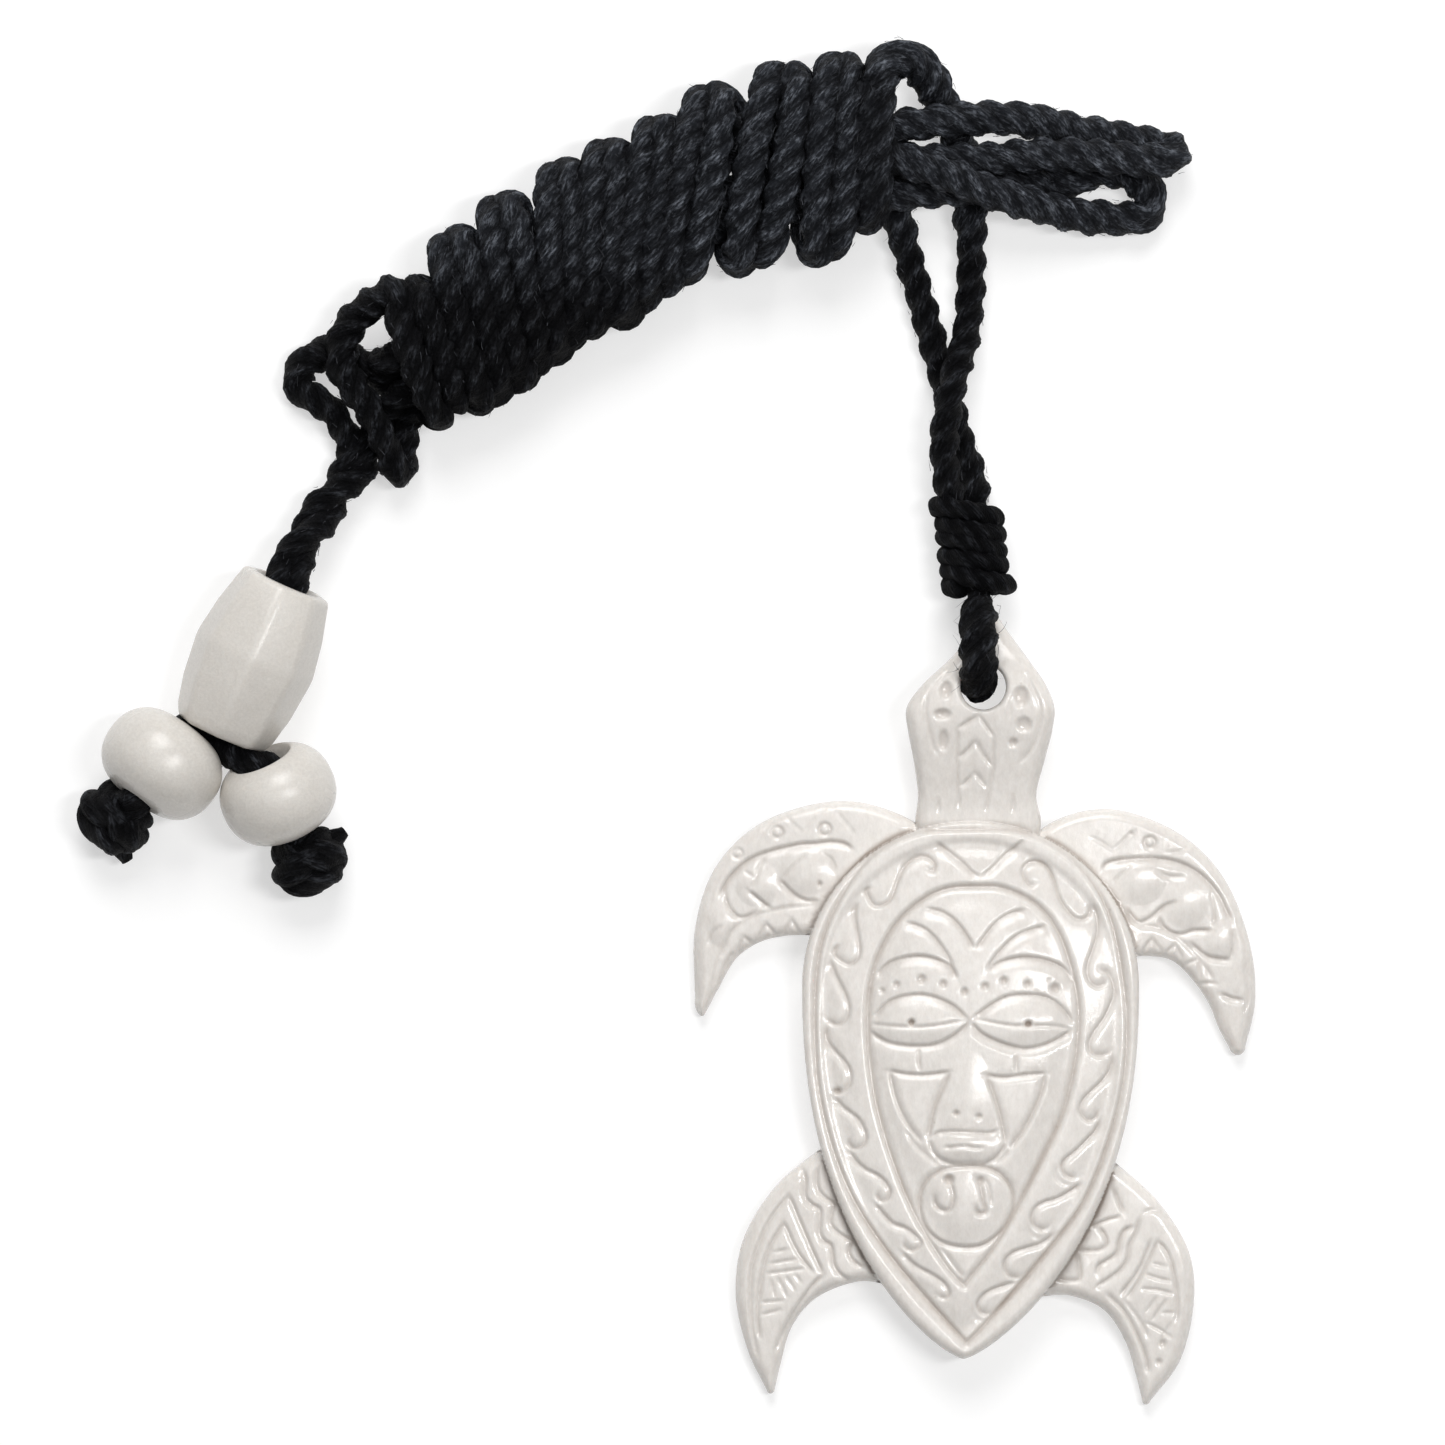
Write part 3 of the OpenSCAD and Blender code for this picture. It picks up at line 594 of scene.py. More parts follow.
# Every cut: its depth, its widths on the left and on the right as the graver goes, and then the
# x and the y of each point that it goes through
carving = {
    "rim groove": [
        [0.55, 0.22, 0.5, 0.3, 16.7, -3.5, 16.45, -6.2, 15.05, -8.3, 12.3, -9.6, 8.95, -9.85, 1.9, -9.1,
         -2.55, -7.7, -6.4, -5.45, -10.05, -0.3, -16.05],
        [0.55, 0.5, 0.22, 0.3, 16.7, 2.25, 16.65, 4.15, 16.2, 6.7, 14.55, 8.65, 11.65, 9.85, 5.75, 9.75,
         0.95, 8.85, -2.9, 7.35, -6.7, 6.25, -8.45, 0.75, -15, -0.3, -16.05],
    ],
    "face oval": [
        [0.5, 0.4, 0.3, 0.3, 13.1, -1.3, 13, -2.55, 12.55, -4.5, 11, -5.9, 8.65, -6.55, 5.75, -6.2, 0,
         -4.55, -5.65, -3.05, -8.85, -1.3, -11.5, -0.45, -12.4],
        [0.5, 0.3, 0.4, 0.3, 13.1, 1.9, 13, 4.2, 11.9, 5.65, 10, 6.8, 6.1, 6.8, 2.9, 6.15, -0.5, 5.55, -2.2,
         1.6, -9.75, -0.45, -12.4],
    ],
    "top point": [
        [0.32, 0.12, 0.5, -2.1, 15.85, -0.5, 14.6, 0.15, 13.95, 0.65, 13.7],
        [0.32, 0.5, 0.12, 3.4, 16.05, 1.9, 14.85, 1.3, 14.2, 0.65, 13.7],
    ],
    "left waves": [
        [0.38, 0.16, 0.28, -2.75, 14.2, -2.45, 14.05, -2.3, 14.35, -2.55, 14.75, -3.1, 14.95, -3.7, 14.75,
         -4.2, 14.3, -4.55, 13.6, -5.15, 12.15, -5.65, 11.85, -6.2, 11.85, -6.5, 12.3, -6.7, 12.8, -6.4,
         13],
        [0.34, 0.12, 0.42, -7.15, 11.95, -7.35, 11.4, -7.05, 8.85, -7.3, 8.25, -7.8, 8.05, -8.7, 8.65, -8.7,
         9.1, -8.4, 9.35],
        [0.34, 0.12, 0.42, -8.9, 8.3, -8.65, 7.55, -7.85, 5.9, -7.75, 5.1, -7.95, 4.5, -8.4, 4.2, -8.9, 4.3,
         -9.2, 4.55],
        [0.34, 0.12, 0.42, -9.15, 4.1, -9.1, 3.25, -7.8, 1.6, -7.6, 0.95, -7.7, 0.4, -8.05, 0, -8.5, -0.15,
         -8.7, 0.15],
        [0.34, 0.12, 0.42, -8.65, -0.4, -8.15, -0.95, -7.05, -1.9, -6.65, -3.05, -7, -3.6, -7.5, -3.7, -7.8,
         -3.4, -7.8, -3],
        [0.34, 0.12, 0.42, -7.75, -3.7, -7.3, -4.4, -6.7, -4.95, -6, -5.3, -5.45, -5.75, -5.1, -6.4, -5.3,
         -6.9, -5.75, -7.05, -6, -6.7, -5.95, -6.4],
        [0.34, 0.12, 0.42, -6.1, -7.15, -4.95, -8.4, -4.15, -8.7, -3.15, -9.65, -3.4, -10.05, -3.85, -10.2,
         -4.2, -10, -4.3, -9.65],
        [0.34, 0.12, 0.42, -4.35, -10.25, -3.7, -10.95, -2.1, -11.9, -1.55, -12.4, -1.35, -12.95, -1.65,
         -13.25, -2.1, -13.1],
    ],
    "right waves": [
        [0.36, 0.14, 0.36, 4.2, 13.2, 3.8, 13.1, 3.4, 13.5, 3.25, 14.1, 3.6, 14.55, 4.15, 14.7, 4.75, 14.45,
         5.2, 13.75, 5.8, 12.1, 6.7, 11.05, 7.25, 11.05, 7.55, 11.4, 7.5, 11.85],
        [0.34, 0.4, 0.14, 7.7, 11.85, 7.95, 11.4, 8, 10, 7.35, 7.7, 7.55, 7, 8, 6.65, 8.5, 6.8, 8.75, 7.1],
        [0.34, 0.4, 0.14, 8.2, 7.75, 8.65, 7.55, 9.1, 6.45, 8.6, 4.95, 7.6, 3.4, 7.5, 2.8, 7.8, 2.35, 8.4,
         2.25, 8.85, 2.45],
        [0.34, 0.4, 0.14, 9, 2.2, 8.85, 1.45, 8.4, 0.75, 7.15, -0.5, 6.9, -1.1, 7.1, -1.6, 7.55, -1.9, 7.95,
         -1.75, 8.15, -1.2],
        [0.34, 0.4, 0.14, 8.2, -1.8, 8, -2.35, 6.85, -3.6, 5.8, -4.6, 5.9, -5.2, 6.25, -5.5, 6.7, -5.55],
        [0.34, 0.4, 0.14, 7, -5.9, 5.5, -6.8, 4.65, -7.05, 4.1, -7.4, 3.85, -8, 3.95, -8.5, 4.5, -8.85,
         4.95, -8.7],
        [0.34, 0.4, 0.14, 5.25, -9.1, 4.5, -9.65, 2.7, -10.25, 2.2, -10.7, 2.1, -11.25, 2.45, -11.8, 2.95,
         -11.95, 3.25, -11.8],
        [0.34, 0.4, 0.14, 3, -12.1, 1.3, -12.65, 0.65, -13.1, 0.4, -13.65, 0.6, -14.1, 1, -14.25, 1.35,
         -14.1],
    ],
    "wave ends": [
        [0.12, 0.25, 0.2, 5.4, -4.8, 5.5, -5.5, 5.9, -5.9, 6.4, -6],
        [0.12, 0.25, 0.2, 3.65, -8.7, 4.05, -9.3, 4.6, -9.45],
        [0.12, 0.25, 0.2, 0.05, -14, 0.4, -14.55, 0.95, -14.7],
    ],
    "forehead": [
        [0.34, 0.12, 0.6, -2.8, 11.7, -1.9, 11.5, -1.1, 11, -0.45, 10.25, 0.25, 9.1],
        [0.34, 0.6, 0.12, 3.4, 11.6, 2.45, 11.35, 1.6, 10.8, 0.25, 9.1],
        [0.34, 0.12, 0.55, -4.2, 10.8, -3.35, 10.6, -2.5, 10.05, -1.35, 8.45, -1.1, 7.55],
        [0.34, 0.55, 0.12, 4.75, 10.6, 3, 10, 1.55, 8.65, 1, 7.8],
    ],
    "brows": [
        [0.42, 0.12, 0.75, -6.1, 7.35, -5.5, 8, -4.8, 8.4, -3.05, 8.65, -1.3, 8, -0.85, 7.25],
        [0.42, 0.12, 0.7, 1.1, 7.75, 1.75, 8.25, 3.5, 8.6, 5.5, 8.15, 6.25, 7.55, 6.6, 6.7],
    ],
    "upper lids": [
        [0.36, 0.1, 0.5, -6.2, 4.75, -5.55, 5.5, -4.8, 5.95, -3.05, 6.2, -1.2, 5.55, -0.2, 4.65],
        [0.36, 0.1, 0.5, 0.15, 4.75, 1.65, 5.8, 2.55, 6.15, 4.6, 6.1, 5.5, 5.65, 6.15, 5, 6.55, 4.35],
    ],
    "eye slits": [
        [0.28, 0.16, 0.14, -6.55, 4.3, -4.15, 4.1, -2.55, 4.15, -0.2, 4.55],
        [0.28, 0.16, 0.14, 0.15, 4.65, 2.55, 4.2, 5.45, 4.15, 6.4, 3.95],
    ],
    "lower lids": [
        [0.36, 0.1, 0.55, -6.55, 3.95, -5.75, 3.4, -4.8, 3.05, -2.25, 3.05, -0.65, 3.95, -0.15, 4.5],
        [0.36, 0.1, 0.55, 0.05, 4.4, 0.75, 3.7, 3.2, 2.8, 4.5, 2.95, 5.45, 3.35, 6.4, 3.95],
    ],
    "tears": [
        [0.3, 0.14, 0.14, -3.25, 3, -3.35, 2.2, -3.25, 1.3],
        [0.26, 0.2, 0.2, 2.9, 2.45, 2.9, 1.8, 2.9, 1.15],
    ],
    "cheeks": [
        [0.4, 0.1, 0.4, -5.25, 1.35, -4.15, 1.15, -2.9, 1.1, -1.35, 1.3],
        [0.36, 0.4, 0.14, -5.2, 1.3, -4.95, 0, -4.5, -1.3, -3.9, -2.35, -3.15, -3.25],
        [0.4, 0.14, 0.45, -1.35, 1.15, -2.3, -1.15, -2.7, -3.05],
        [0.4, 0.1, 0.4, 0.85, 1.1, 2.1, 0.95, 3.4, 1.1, 4.75, 1.2],
        [0.4, 0.45, 0.14, 1, 0.9, 1.75, -1.3, 2.2, -3.35],
        [0.4, 0.16, 0.45, 4.75, 1.1, 4.5, -0.15, 3.35, -2.55, 2.5, -3.65],
    ],
    "mouth": [
        [0.3, 0.1, 0.3, -2.55, -3, -2.1, -2.6, 1.15, -2.6, 1.75, -2.45],
        [0.36, 0.3, 0.12, -2.7, -3.05, -2.45, -3.85, -1.75, -4.5, 0.5, -4.75, 1.4, -4.4, 2.05, -3.7, 2.3,
         -3.2],
        [0.34, 0.14, 0.14, -1.75, -3.6, -0.3, -3.5, 0.3, -3.6, 0.75, -3.6],
    ],
    "folds": [
        [0.22, 0.5, 0.2, -4.15, -2.45, -3.6, -3.4, -2.05, -4.75],
        [0.22, 0.2, 0.5, 2.55, -3.7, 2, -4.3, 1.3, -4.8],
    ],
    "chin ring": [
        [0.45, 0.16, 0.4, -0.95, -4.85, -1.8, -5.05, -2.55, -5.5, -3.05, -6.2, -3.25, -7.05, -3.15, -7.95,
         -2.7, -8.9, -1.85, -9.6, -0.65, -9.9, 0.65, -9.8, 1.65, -9.15, 2.35, -8.25, 2.7, -7.25, 2.55,
         -6.25, 2.05, -5.5, 1.3, -5, 0.3, -4.8, -0.95, -4.85],
    ],
    "chin hooks": [
        [0.4, 0.2, 0.3, -1.45, -5.5, -1.2, -6.15, -1.1, -6.9, -1.35, -7.55, -1.85, -7.6, -2.25, -7.25,
         -2.35, -6.65],
        [0.4, 0.3, 0.22, 0.25, -5.4, 0.6, -6.1, 0.75, -6.9, 0.9, -7.7, 0.5, -7.75, 0.25, -7.3],
        [0.3, 0.2, 0.2, 0.9, -5.5, 1.2, -6.4, 1.3, -7.3],
    ],
    "chin point": [
        [0.34, 0.35, 0.15, -2.05, -9.85, -0.85, -11.5, -0.4, -11.95],
        [0.34, 0.15, 0.35, 1.85, -9.6, 0.4, -11.35, -0.25, -11.95],
    ],
    "front left flipper": [
        [0.4, 0.55, 0.14, -7.55, 15.5, -8, 15.8, -8.85, 15.95, -9.9, 15.85, -11.05, 15.75, -14.1, 14.8,
         -15.55, 13.45, -16, 12.5],
        [0.36, 0.1, 0.4, -12.15, 13.5, -11.15, 12.5, -10.5, 12.2, -9.75, 12.2],
        [0.36, 0.1, 0.4, -14.2, 12.85, -13.1, 11.95, -12.75, 11.7],
        [0.22, 0.3, 0.12, -13.05, 15, -13.5, 14.35, -13.7, 13.65, -14.1, 12.85],
        [0.22, 0.3, 0.12, -10.5, 15.15, -11.6, 14.1, -12.1, 13.5],
        [0.3, 0.12, 0.3, -15.05, 13.95, -15.5, 13.25, -15.6, 12.4, -15.35, 11.65, -14.85, 11.15, -14.25,
         11.15, -13.7, 11.5],
        [0.2, 0.12, 0.25, -14.7, 14.2, -14.25, 13.95, -13.8, 13.65],
        [0.22, 0.12, 0.3, -9.45, 15.15, -8.9, 14.8, -8.6, 14.1],
        [0.18, 0.3, 0.2, -9.8, 11.95, -12.95, 11.45, -14.6, 10.75, -15.3, 10.1, -16, 8.45],
        [0.32, 0.12, 0.22, -11.95, 10, -11.7, 10.5, -11.45, 11],
        [0.32, 0.22, 0.12, -10.8, 9.85, -11.15, 10.5, -11.45, 11],
        [0.32, 0.12, 0.22, -13.5, 9.75, -13.3, 10.25, -13.1, 10.75],
        [0.32, 0.22, 0.12, -12.35, 9.85, -12.75, 10.35, -13.1, 10.75],
        [0.32, 0.12, 0.22, -14.9, 8.5, -14.7, 9.3, -14.55, 9.9],
        [0.32, 0.22, 0.12, -13.7, 9.3, -14.15, 9.6, -14.55, 9.9],
        [0.3, 0.12, 0.2, -15.7, 7.8, -15.5, 8.3, -15.3, 8.75],
        [0.3, 0.2, 0.12, -14.8, 8.3, -15.05, 8.6, -15.3, 8.75],
        [0.12, 0.25, 0.1, -10.6, 16.4, -10.05, 17.15, -9.2, 18.05],
        [0.12, 0.1, 0.25, -7.35, 16.3, -8.05, 17.15, -8.7, 17.9],
        [0.12, 0.25, 0.1, -13.65, 15.85, -13, 16.75, -12.3, 17.55],
        [0.12, 0.1, 0.25, -10.7, 16.45, -11.35, 17, -11.95, 17.6],
        [0.1, 0.25, 0.1, -15.85, 14.2, -15.25, 15.25, -14.45, 16.15],
        [0.1, 0.15, 0.15, -16.65, 11.85, -16.45, 12.8, -16.05, 13.7],
        [0.16, 0.2, 0.2, -15.85, 10.55, -16.45, 10.1, -16.75, 9.35],
        [0.16, 0.3, 0.15, -16.4, 6.7, -16.2, 7.7, -15.95, 8.45],
    ],
    "front right flipper": [
        [0.4, 0.14, 0.55, 8.4, 14.2, 8.75, 14.6, 12.5, 14.8, 14.35, 14.1, 15.75, 12.75, 16.7, 10.9],
        [0.2, 0.2, 0.15, 9.15, 13.25, 9.55, 13.75, 10.05, 14.15, 10.5, 14.65],
        [0.34, 0.12, 0.4, 10, 11.65, 10.75, 10.8, 11.35, 11, 12.4, 11.85, 13.1, 12.1],
        [0.36, 0.12, 0.4, 12.05, 11.15, 12.35, 10.5, 12.95, 10.1, 13.55, 10.05, 14.2, 10.25, 15.5, 10.3],
        [0.24, 0.12, 0.3, 15.5, 10.3, 15.55, 11.2, 15.3, 12.95],
        [0.22, 0.15, 0.3, 11.95, 14.15, 12.5, 13.75, 13.7, 13.7],
        [0.34, 0.12, 0.4, 14.1, 9.45, 15.1, 8.65, 16.6, 8.4],
        [0.22, 0.12, 0.3, 16.6, 8.4, 16.75, 9.3, 16.7, 10.25],
        [0.32, 0.12, 0.4, 16, 6.25, 16.65, 5.95, 17.45, 5.8],
        [0.2, 0.2, 0.25, 17.55, 8.2, 17.75, 7.05, 17.75, 5.9, 17.55, 5],
        [0.2, 0.25, 0.3, 10.7, 10.5, 11.65, 10.5, 13.45, 9.6, 14.9, 8, 15.5, 7.05],
        [0.32, 0.12, 0.22, 10.95, 8.75, 11.25, 9.3, 11.6, 9.75],
        [0.32, 0.22, 0.12, 12.2, 8.95, 11.9, 9.35, 11.6, 9.75],
        [0.32, 0.12, 0.22, 12.55, 8.85, 12.8, 9.1, 13.1, 9.4],
        [0.32, 0.22, 0.12, 13.55, 8.45, 13.3, 8.95, 13.1, 9.4],
        [0.3, 0.12, 0.22, 13.7, 8.05, 14.1, 8.25, 14.6, 8.45],
        [0.3, 0.22, 0.12, 14.65, 7.25, 14.65, 7.85, 14.6, 8.45],
        [0.3, 0.12, 0.22, 14.65, 6.8, 15.15, 6.9, 15.75, 6.85],
        [0.12, 0.25, 0.1, 9.1, 15.4, 8.45, 15.85, 7.7, 16.25],
        [0.12, 0.1, 0.25, 9.1, 15.4, 9.75, 16, 10.45, 16.65],
        [0.1, 0.1, 0.25, 12.5, 15.25, 13.3, 15.3, 14.1, 15.75],
    ],
    "rear left flipper": [
        [0.36, 0.12, 0.4, -10.7, -4.85, -10.5, -5.75, -10.5, -6.8, -10.1, -7.25, -9.6, -7.55, -9.6, -9,
         -9.35, -9.55, -8.9, -9.85, -8.65, -11.15, -8.3, -11.7, -7.55, -12.15],
        [0.32, 0.12, 0.3, -9.75, -4.85, -9.8, -5.7, -9.65, -6.4, -9.2, -6.85, -8.7, -7.25, -8.85, -7.85,
         -8.9, -8.5, -8.5, -9, -7.5, -9.6],
        [0.36, 0.12, 0.25, -7.55, -9.6, -7.75, -10.25, -7.5, -10.8, -6.9, -11.25],
        [0.34, 0.12, 0.35, -11.6, -6.6, -10.25, -9.8, -9.4, -11.7],
        [0.3, 0.3, 0.12, -11.65, -6.65, -12.95, -8.45, -13.9, -10.9, -14.1, -12.3, -13.95, -15.35, -13.65,
         -16.95],
        [0.32, 0.12, 0.25, -11.9, -8.4, -11.05, -10.25, -10.05, -11.6],
        [0.32, 0.25, 0.12, -11.95, -8.45, -12.95, -10.25, -13.65, -14.2, -13.5, -15.85],
        [0.36, 0.3, 0.12, -9.4, -11.7, -10.05, -12.35, -11.2, -13.95, -12.15, -15.75, -12.5, -16.65],
        [0.24, 0.1, 0.15, -12.65, -10.35, -11.65, -10.1],
        [0.24, 0.1, 0.15, -12.85, -11.05, -11, -10.75],
        [0.26, 0.1, 0.15, -13.05, -11.7, -10.5, -11.35],
        [0.22, 0.12, 0.12, -12.75, -12.1, -12.5, -13.2],
        [0.22, 0.12, 0.12, -12.3, -11.95, -11.7, -13.25],
        [0.22, 0.12, 0.12, -11.8, -11.85, -11.2, -12.8],
        [0.22, 0.12, 0.12, -11.25, -11.7, -10.8, -12.3],
        [0.24, 0.1, 0.15, -13.45, -13.55, -11.95, -13.4],
        [0.24, 0.1, 0.15, -13.45, -14.35, -12.1, -14],
    ],
    "rear right flipper": [
        [0.32, 0.4, 0.12, 9.1, -6.25, 9.4, -7.05, 9.75, -7.85],
        [0.34, 0.1, 0.25, 7.8, -8.6, 8.65, -8.25, 9.55, -8],
        [0.36, 0.1, 0.3, 8.15, -8.6, 8.6, -9.2, 8.75, -9.8, 8.3, -10.2, 6.9, -10.25],
        [0.34, 0.1, 0.3, 6.9, -10.35, 7, -12.05, 6.35, -12.2, 5.55, -12.05],
        [0.36, 0.4, 0.12, 10.35, -8.65, 9.8, -8.9, 9.45, -9.6, 9.3, -10.3, 8.7, -10.8, 8.15, -11.15, 8.05,
         -11.65],
        [0.3, 0.4, 0.14, 10.75, -8.2, 10.5, -9.1, 10.1, -9.9, 10, -10.7, 9.55, -11.4, 8.05, -12.5],
        [0.3, 0.35, 0.14, 11.5, -9.6, 10.75, -11.4, 9.55, -13.05],
        [0.34, 0.3, 0.14, 11.95, -9.55, 10.7, -12.15, 10, -13.25],
        [0.3, 0.14, 0.25, 11.95, -9.55, 12.5, -10.2, 12.85, -11, 13.25, -13.45, 13.2, -14.7],
        [0.16, 0.14, 0.2, 11.05, -7.8, 11.6, -7.6, 12.15, -7.85],
        [0.38, 0.3, 0.14, 8.7, -13, 9.85, -14.2, 11.15, -17, 11.35, -18.05],
        [0.2, 0.25, 0.14, 9.75, -13.3, 10.95, -15, 11.35, -15.85],
        [0.24, 0.12, 0.14, 11, -11.65, 11.85, -11.95, 12.75, -12.15],
        [0.26, 0.12, 0.14, 10.95, -12.65, 12.05, -12.75, 13, -13],
        [0.2, 0.12, 0.12, 11.5, -11, 12.55, -11.25],
        [0.24, 0.14, 0.12, 11.9, -13.2, 11.25, -14.15],
        [0.24, 0.14, 0.12, 12.5, -13.4, 11.6, -14.7],
        [0.24, 0.14, 0.12, 11.2, -14.85, 12.05, -15.25, 12.85, -15.8],
        [0.2, 0.12, 0.12, 12.2, -14.2, 13.2, -14.2],
        [0.2, 0.14, 0.12, 12.8, -14.85, 12.15, -16],
    ],
    "head": [
        [0.3, 0.14, 0.3, -0.85, 23.15, -0.25, 23.55, 0.5, 24],
        [0.3, 0.12, 0.14, 0.5, 24, 0.95, 23.35, 1.45, 22.6],
        [0.3, 0.14, 0.3, -0.85, 21.25, -0.25, 21.75, 0.25, 22.4],
        [0.3, 0.3, 0.12, 0.25, 22.4, 0.7, 21.55, 1.35, 20.65],
        [0.26, 0.14, 0.3, -0.7, 19.45, -0.2, 19.85, 0.2, 20.4],
        [0.26, 0.3, 0.12, 0.2, 20.4, 0.6, 19.85, 1, 19.35],
        [0.24, 0.16, 0.16, -0.85, 23.15, -0.85, 19.5, -0.75, 18.05],
        [0.24, 0.16, 0.16, 1.45, 22.6, 1.4, 20.5, 1.15, 19.2, 1, 17.9],
        [0.22, 0.14, 0.14, -2.1, 18.7, -2.05, 17.8],
        [0.22, 0.14, 0.14, 2.75, 18.9, 2.7, 17.8],
        [0.2, 0.3, 0.12, -1.3, 27, -2.1, 26.1, -2.8, 25.3, -2.95, 24.2, -2.7, 23.15, -2.5, 22.25, -2.2,
         21.5],
        [0.2, 0.12, 0.3, 3.45, 26.75, 4.35, 24.9, 4.5, 23.8, 4.3, 22.7, 3.85, 21.75, 3.2, 20.95],
        [0.16, 0.12, 0.3, 2.8, 25.6, 2.55, 24.65, 2.45, 23.7],
    ],
}
# Round bowls: middle, the two half widths and depth
bowls = {
    "pupils": [(-3.8, 4.4, 0.22, 0.22, 0.5), (3.65, 4.3, 0.24, 0.22, 0.5)],
    "brow dots": [
        (-5.65, 6.4, 0.2, 0.22, 0.16), (-4.75, 6.8, 0.24, 0.26, 0.2), (-3.15, 7.15, 0.3, 0.34, 0.2),
        (-1.75, 6.85, 0.26, 0.3, 0.2), (-0.4, 6.35, 0.24, 0.3, 0.2), (0.9, 6.7, 0.28, 0.28, 0.2),
        (2.1, 7.05, 0.28, 0.3, 0.22), (3.6, 6.85, 0.24, 0.26, 0.2), (5, 7.1, 0.12, 0.12, 0.12),
        (5.35, 6.55, 0.36, 0.36, 0.28),
    ],
    "nostrils": [(-0.95, -1.4, 0.2, 0.18, 0.25), (0.5, -1.6, 0.2, 0.18, 0.25)],
    "chin": [(-1.4, -5.65, 0.36, 0.36, 0.35), (0.6, -5.75, 0.3, 0.4, 0.25)],
    "flippers": [
        (-8.5, 0, 0.28, 0.22, 0.4), (-9.65, 13.2, 0.14, 0.22, 0.25), (-8.75, 18.2, 0.12, 0.12, 0.15),
        (10.25, 16.45, 0.14, 0.12, 0.2), (12.3, -16.15, 0.22, 0.3, 0.18), (12.05, -17.35, 0.2, 0.25, 0.15),
    ],
    "head": [
        (-1.6, 25.6, 0.4, 0.6, 0.26), (-1.8, 24.05, 0.55, 0.35, 0.24), (-1.75, 22.4, 0.35, 0.7, 0.2),
        (3.2, 25.15, 0.5, 0.7, 0.26), (3.4, 23.4, 0.5, 0.5, 0.2), (2.7, 22.25, 0.3, 0.3, 0.2),
    ],
}
# Small turned rings: middle, radius and width
rings = [(-9.3, 16.7, 0.36, 0.14), (-12.35, 16.5, 0.34, 0.14),
         (11.45, 15.85, 0.34, 0.14), (-14.9, 15.15, 0.3, 0.12)]
# Soft swellings: middle, the two half widths and height
swellings = [(-3.4, 4.35, 3.1, 1.35, 0.22), (3.2, 4.3, 3.1, 1.4, 0.22), (-0.25, -0.9, 1.9, 3.6, 0.2),
             (-0.3, -3.6, 2.4, 1.1, 0.26), (-0.25, -7.35, 2.7, 2.4, 0.16),
             (-10.5, 14, 1.9, 1.6, 0.25), (-13.6, 13.2, 1.5, 1.5, 0.25), (-15.9, 10.6, 1.0, 1.5, 0.2),
             (10.7, 13.5, 1.9, 1.7, 0.25), (13.7, 12, 1.5, 1.7, 0.25), (15.9, 9.6, 1.1, 1.4, 0.2)]


def egg(shape, count=240):
    """The shell's outline and the face's oval, from the same seven values as the source's."""
    half, top, bottom, widest, flank, bend, lean = shape
    angle = np.arange(count) * 2 * math.pi / count
    upper = np.sin(angle) > -1e-9
    rise = np.abs(np.sin(angle))
    fall = rise ** 1.15
    lower_half = np.sign(np.cos(angle)) * np.clip(1 - fall ** flank, 0, 1) ** bend
    x = half * np.where(upper, np.cos(angle), lower_half) + np.where(upper, 0, lean * fall ** 3)
    end = np.where(upper, top, bottom)
    return np.column_stack([x, widest + (end - widest) * np.where(upper, rise, fall)])


def window(points, margin):
    """The rows and columns of the grid within a margin of some points."""
    low = np.maximum((np.min(points, axis=0) - margin - bone_low) / bone_step, 0).astype(int)
    high = np.maximum((np.max(points, axis=0) + margin - bone_low) / bone_step + 2, 0).astype(int)
    return slice(low[1], high[1]), slice(low[0], high[0])


def beside(line, margin):
    """How far each grid point is from a line, on which side, and how far along it."""
    nearest = np.full(grid_x.shape, float(margin))
    side = np.zeros(grid_x.shape)
    run = np.zeros(grid_x.shape)
    start = 0.0
    for a, b in zip(line[:-1], line[1:]):
        spot = window([a, b], margin)
        from_x, from_y = grid_x[spot] - a[0], grid_y[spot] - a[1]
        way = b - a
        length = float(np.hypot(way[0], way[1]))
        part = np.clip((from_x * way[0] + from_y * way[1]) / length ** 2, 0, 1)
        away = np.hypot(from_x - part * way[0], from_y - part * way[1])
        closer = away < nearest[spot]
        nearest[spot] = np.where(closer, away, nearest[spot])
        side[spot] = np.where(closer, way[0] * from_y - way[1] * from_x, side[spot])
        run[spot] = np.where(closer, start + part * length, run[spot])
        start += length
    return nearest, side, run, start


def within(outline):
    """Which grid points lie inside a closed outline."""
    ahead = np.roll(outline, -1, axis=0)
    found = np.zeros(grid_x.shape, bool)
    for i, y in enumerate(grid_y[:, 0]):
        crosses = (outline[:, 1] > y) != (ahead[:, 1] > y)
        a, b = outline[crosses], ahead[crosses]
        places = a[:, 0] + (y - a[:, 1]) * (b[:, 0] - a[:, 0]) / (b[:, 1] - a[:, 1])
        found[i] = np.searchsorted(np.sort(places), grid_x[0]) % 2 == 1
    return found


def rounded(distance, radius):
    """How far a rounded edge has fallen at a distance in from it."""
    part = np.clip(1 - distance / radius, 0, 1)
    return radius * (1 - np.sqrt(1 - part ** 2))


def round_end(outer, inner, ahead):
    """Points round the end of a form, from its outer edge over to its inner one."""
    return [(outer + inner) / 2 + (outer - inner) / 2 * math.cos(a) + ahead * math.sin(a)
            for a in np.linspace(0, math.pi, 9)[1:-1]]


def softened(field, times):
    """A field with each value spread a little over its neighbours, some times over."""
    for _ in range(times):
        for axis in (0, 1):
            field = (np.roll(field, 1, axis) + 2 * field + np.roll(field, -1, axis)) / 4
    return field


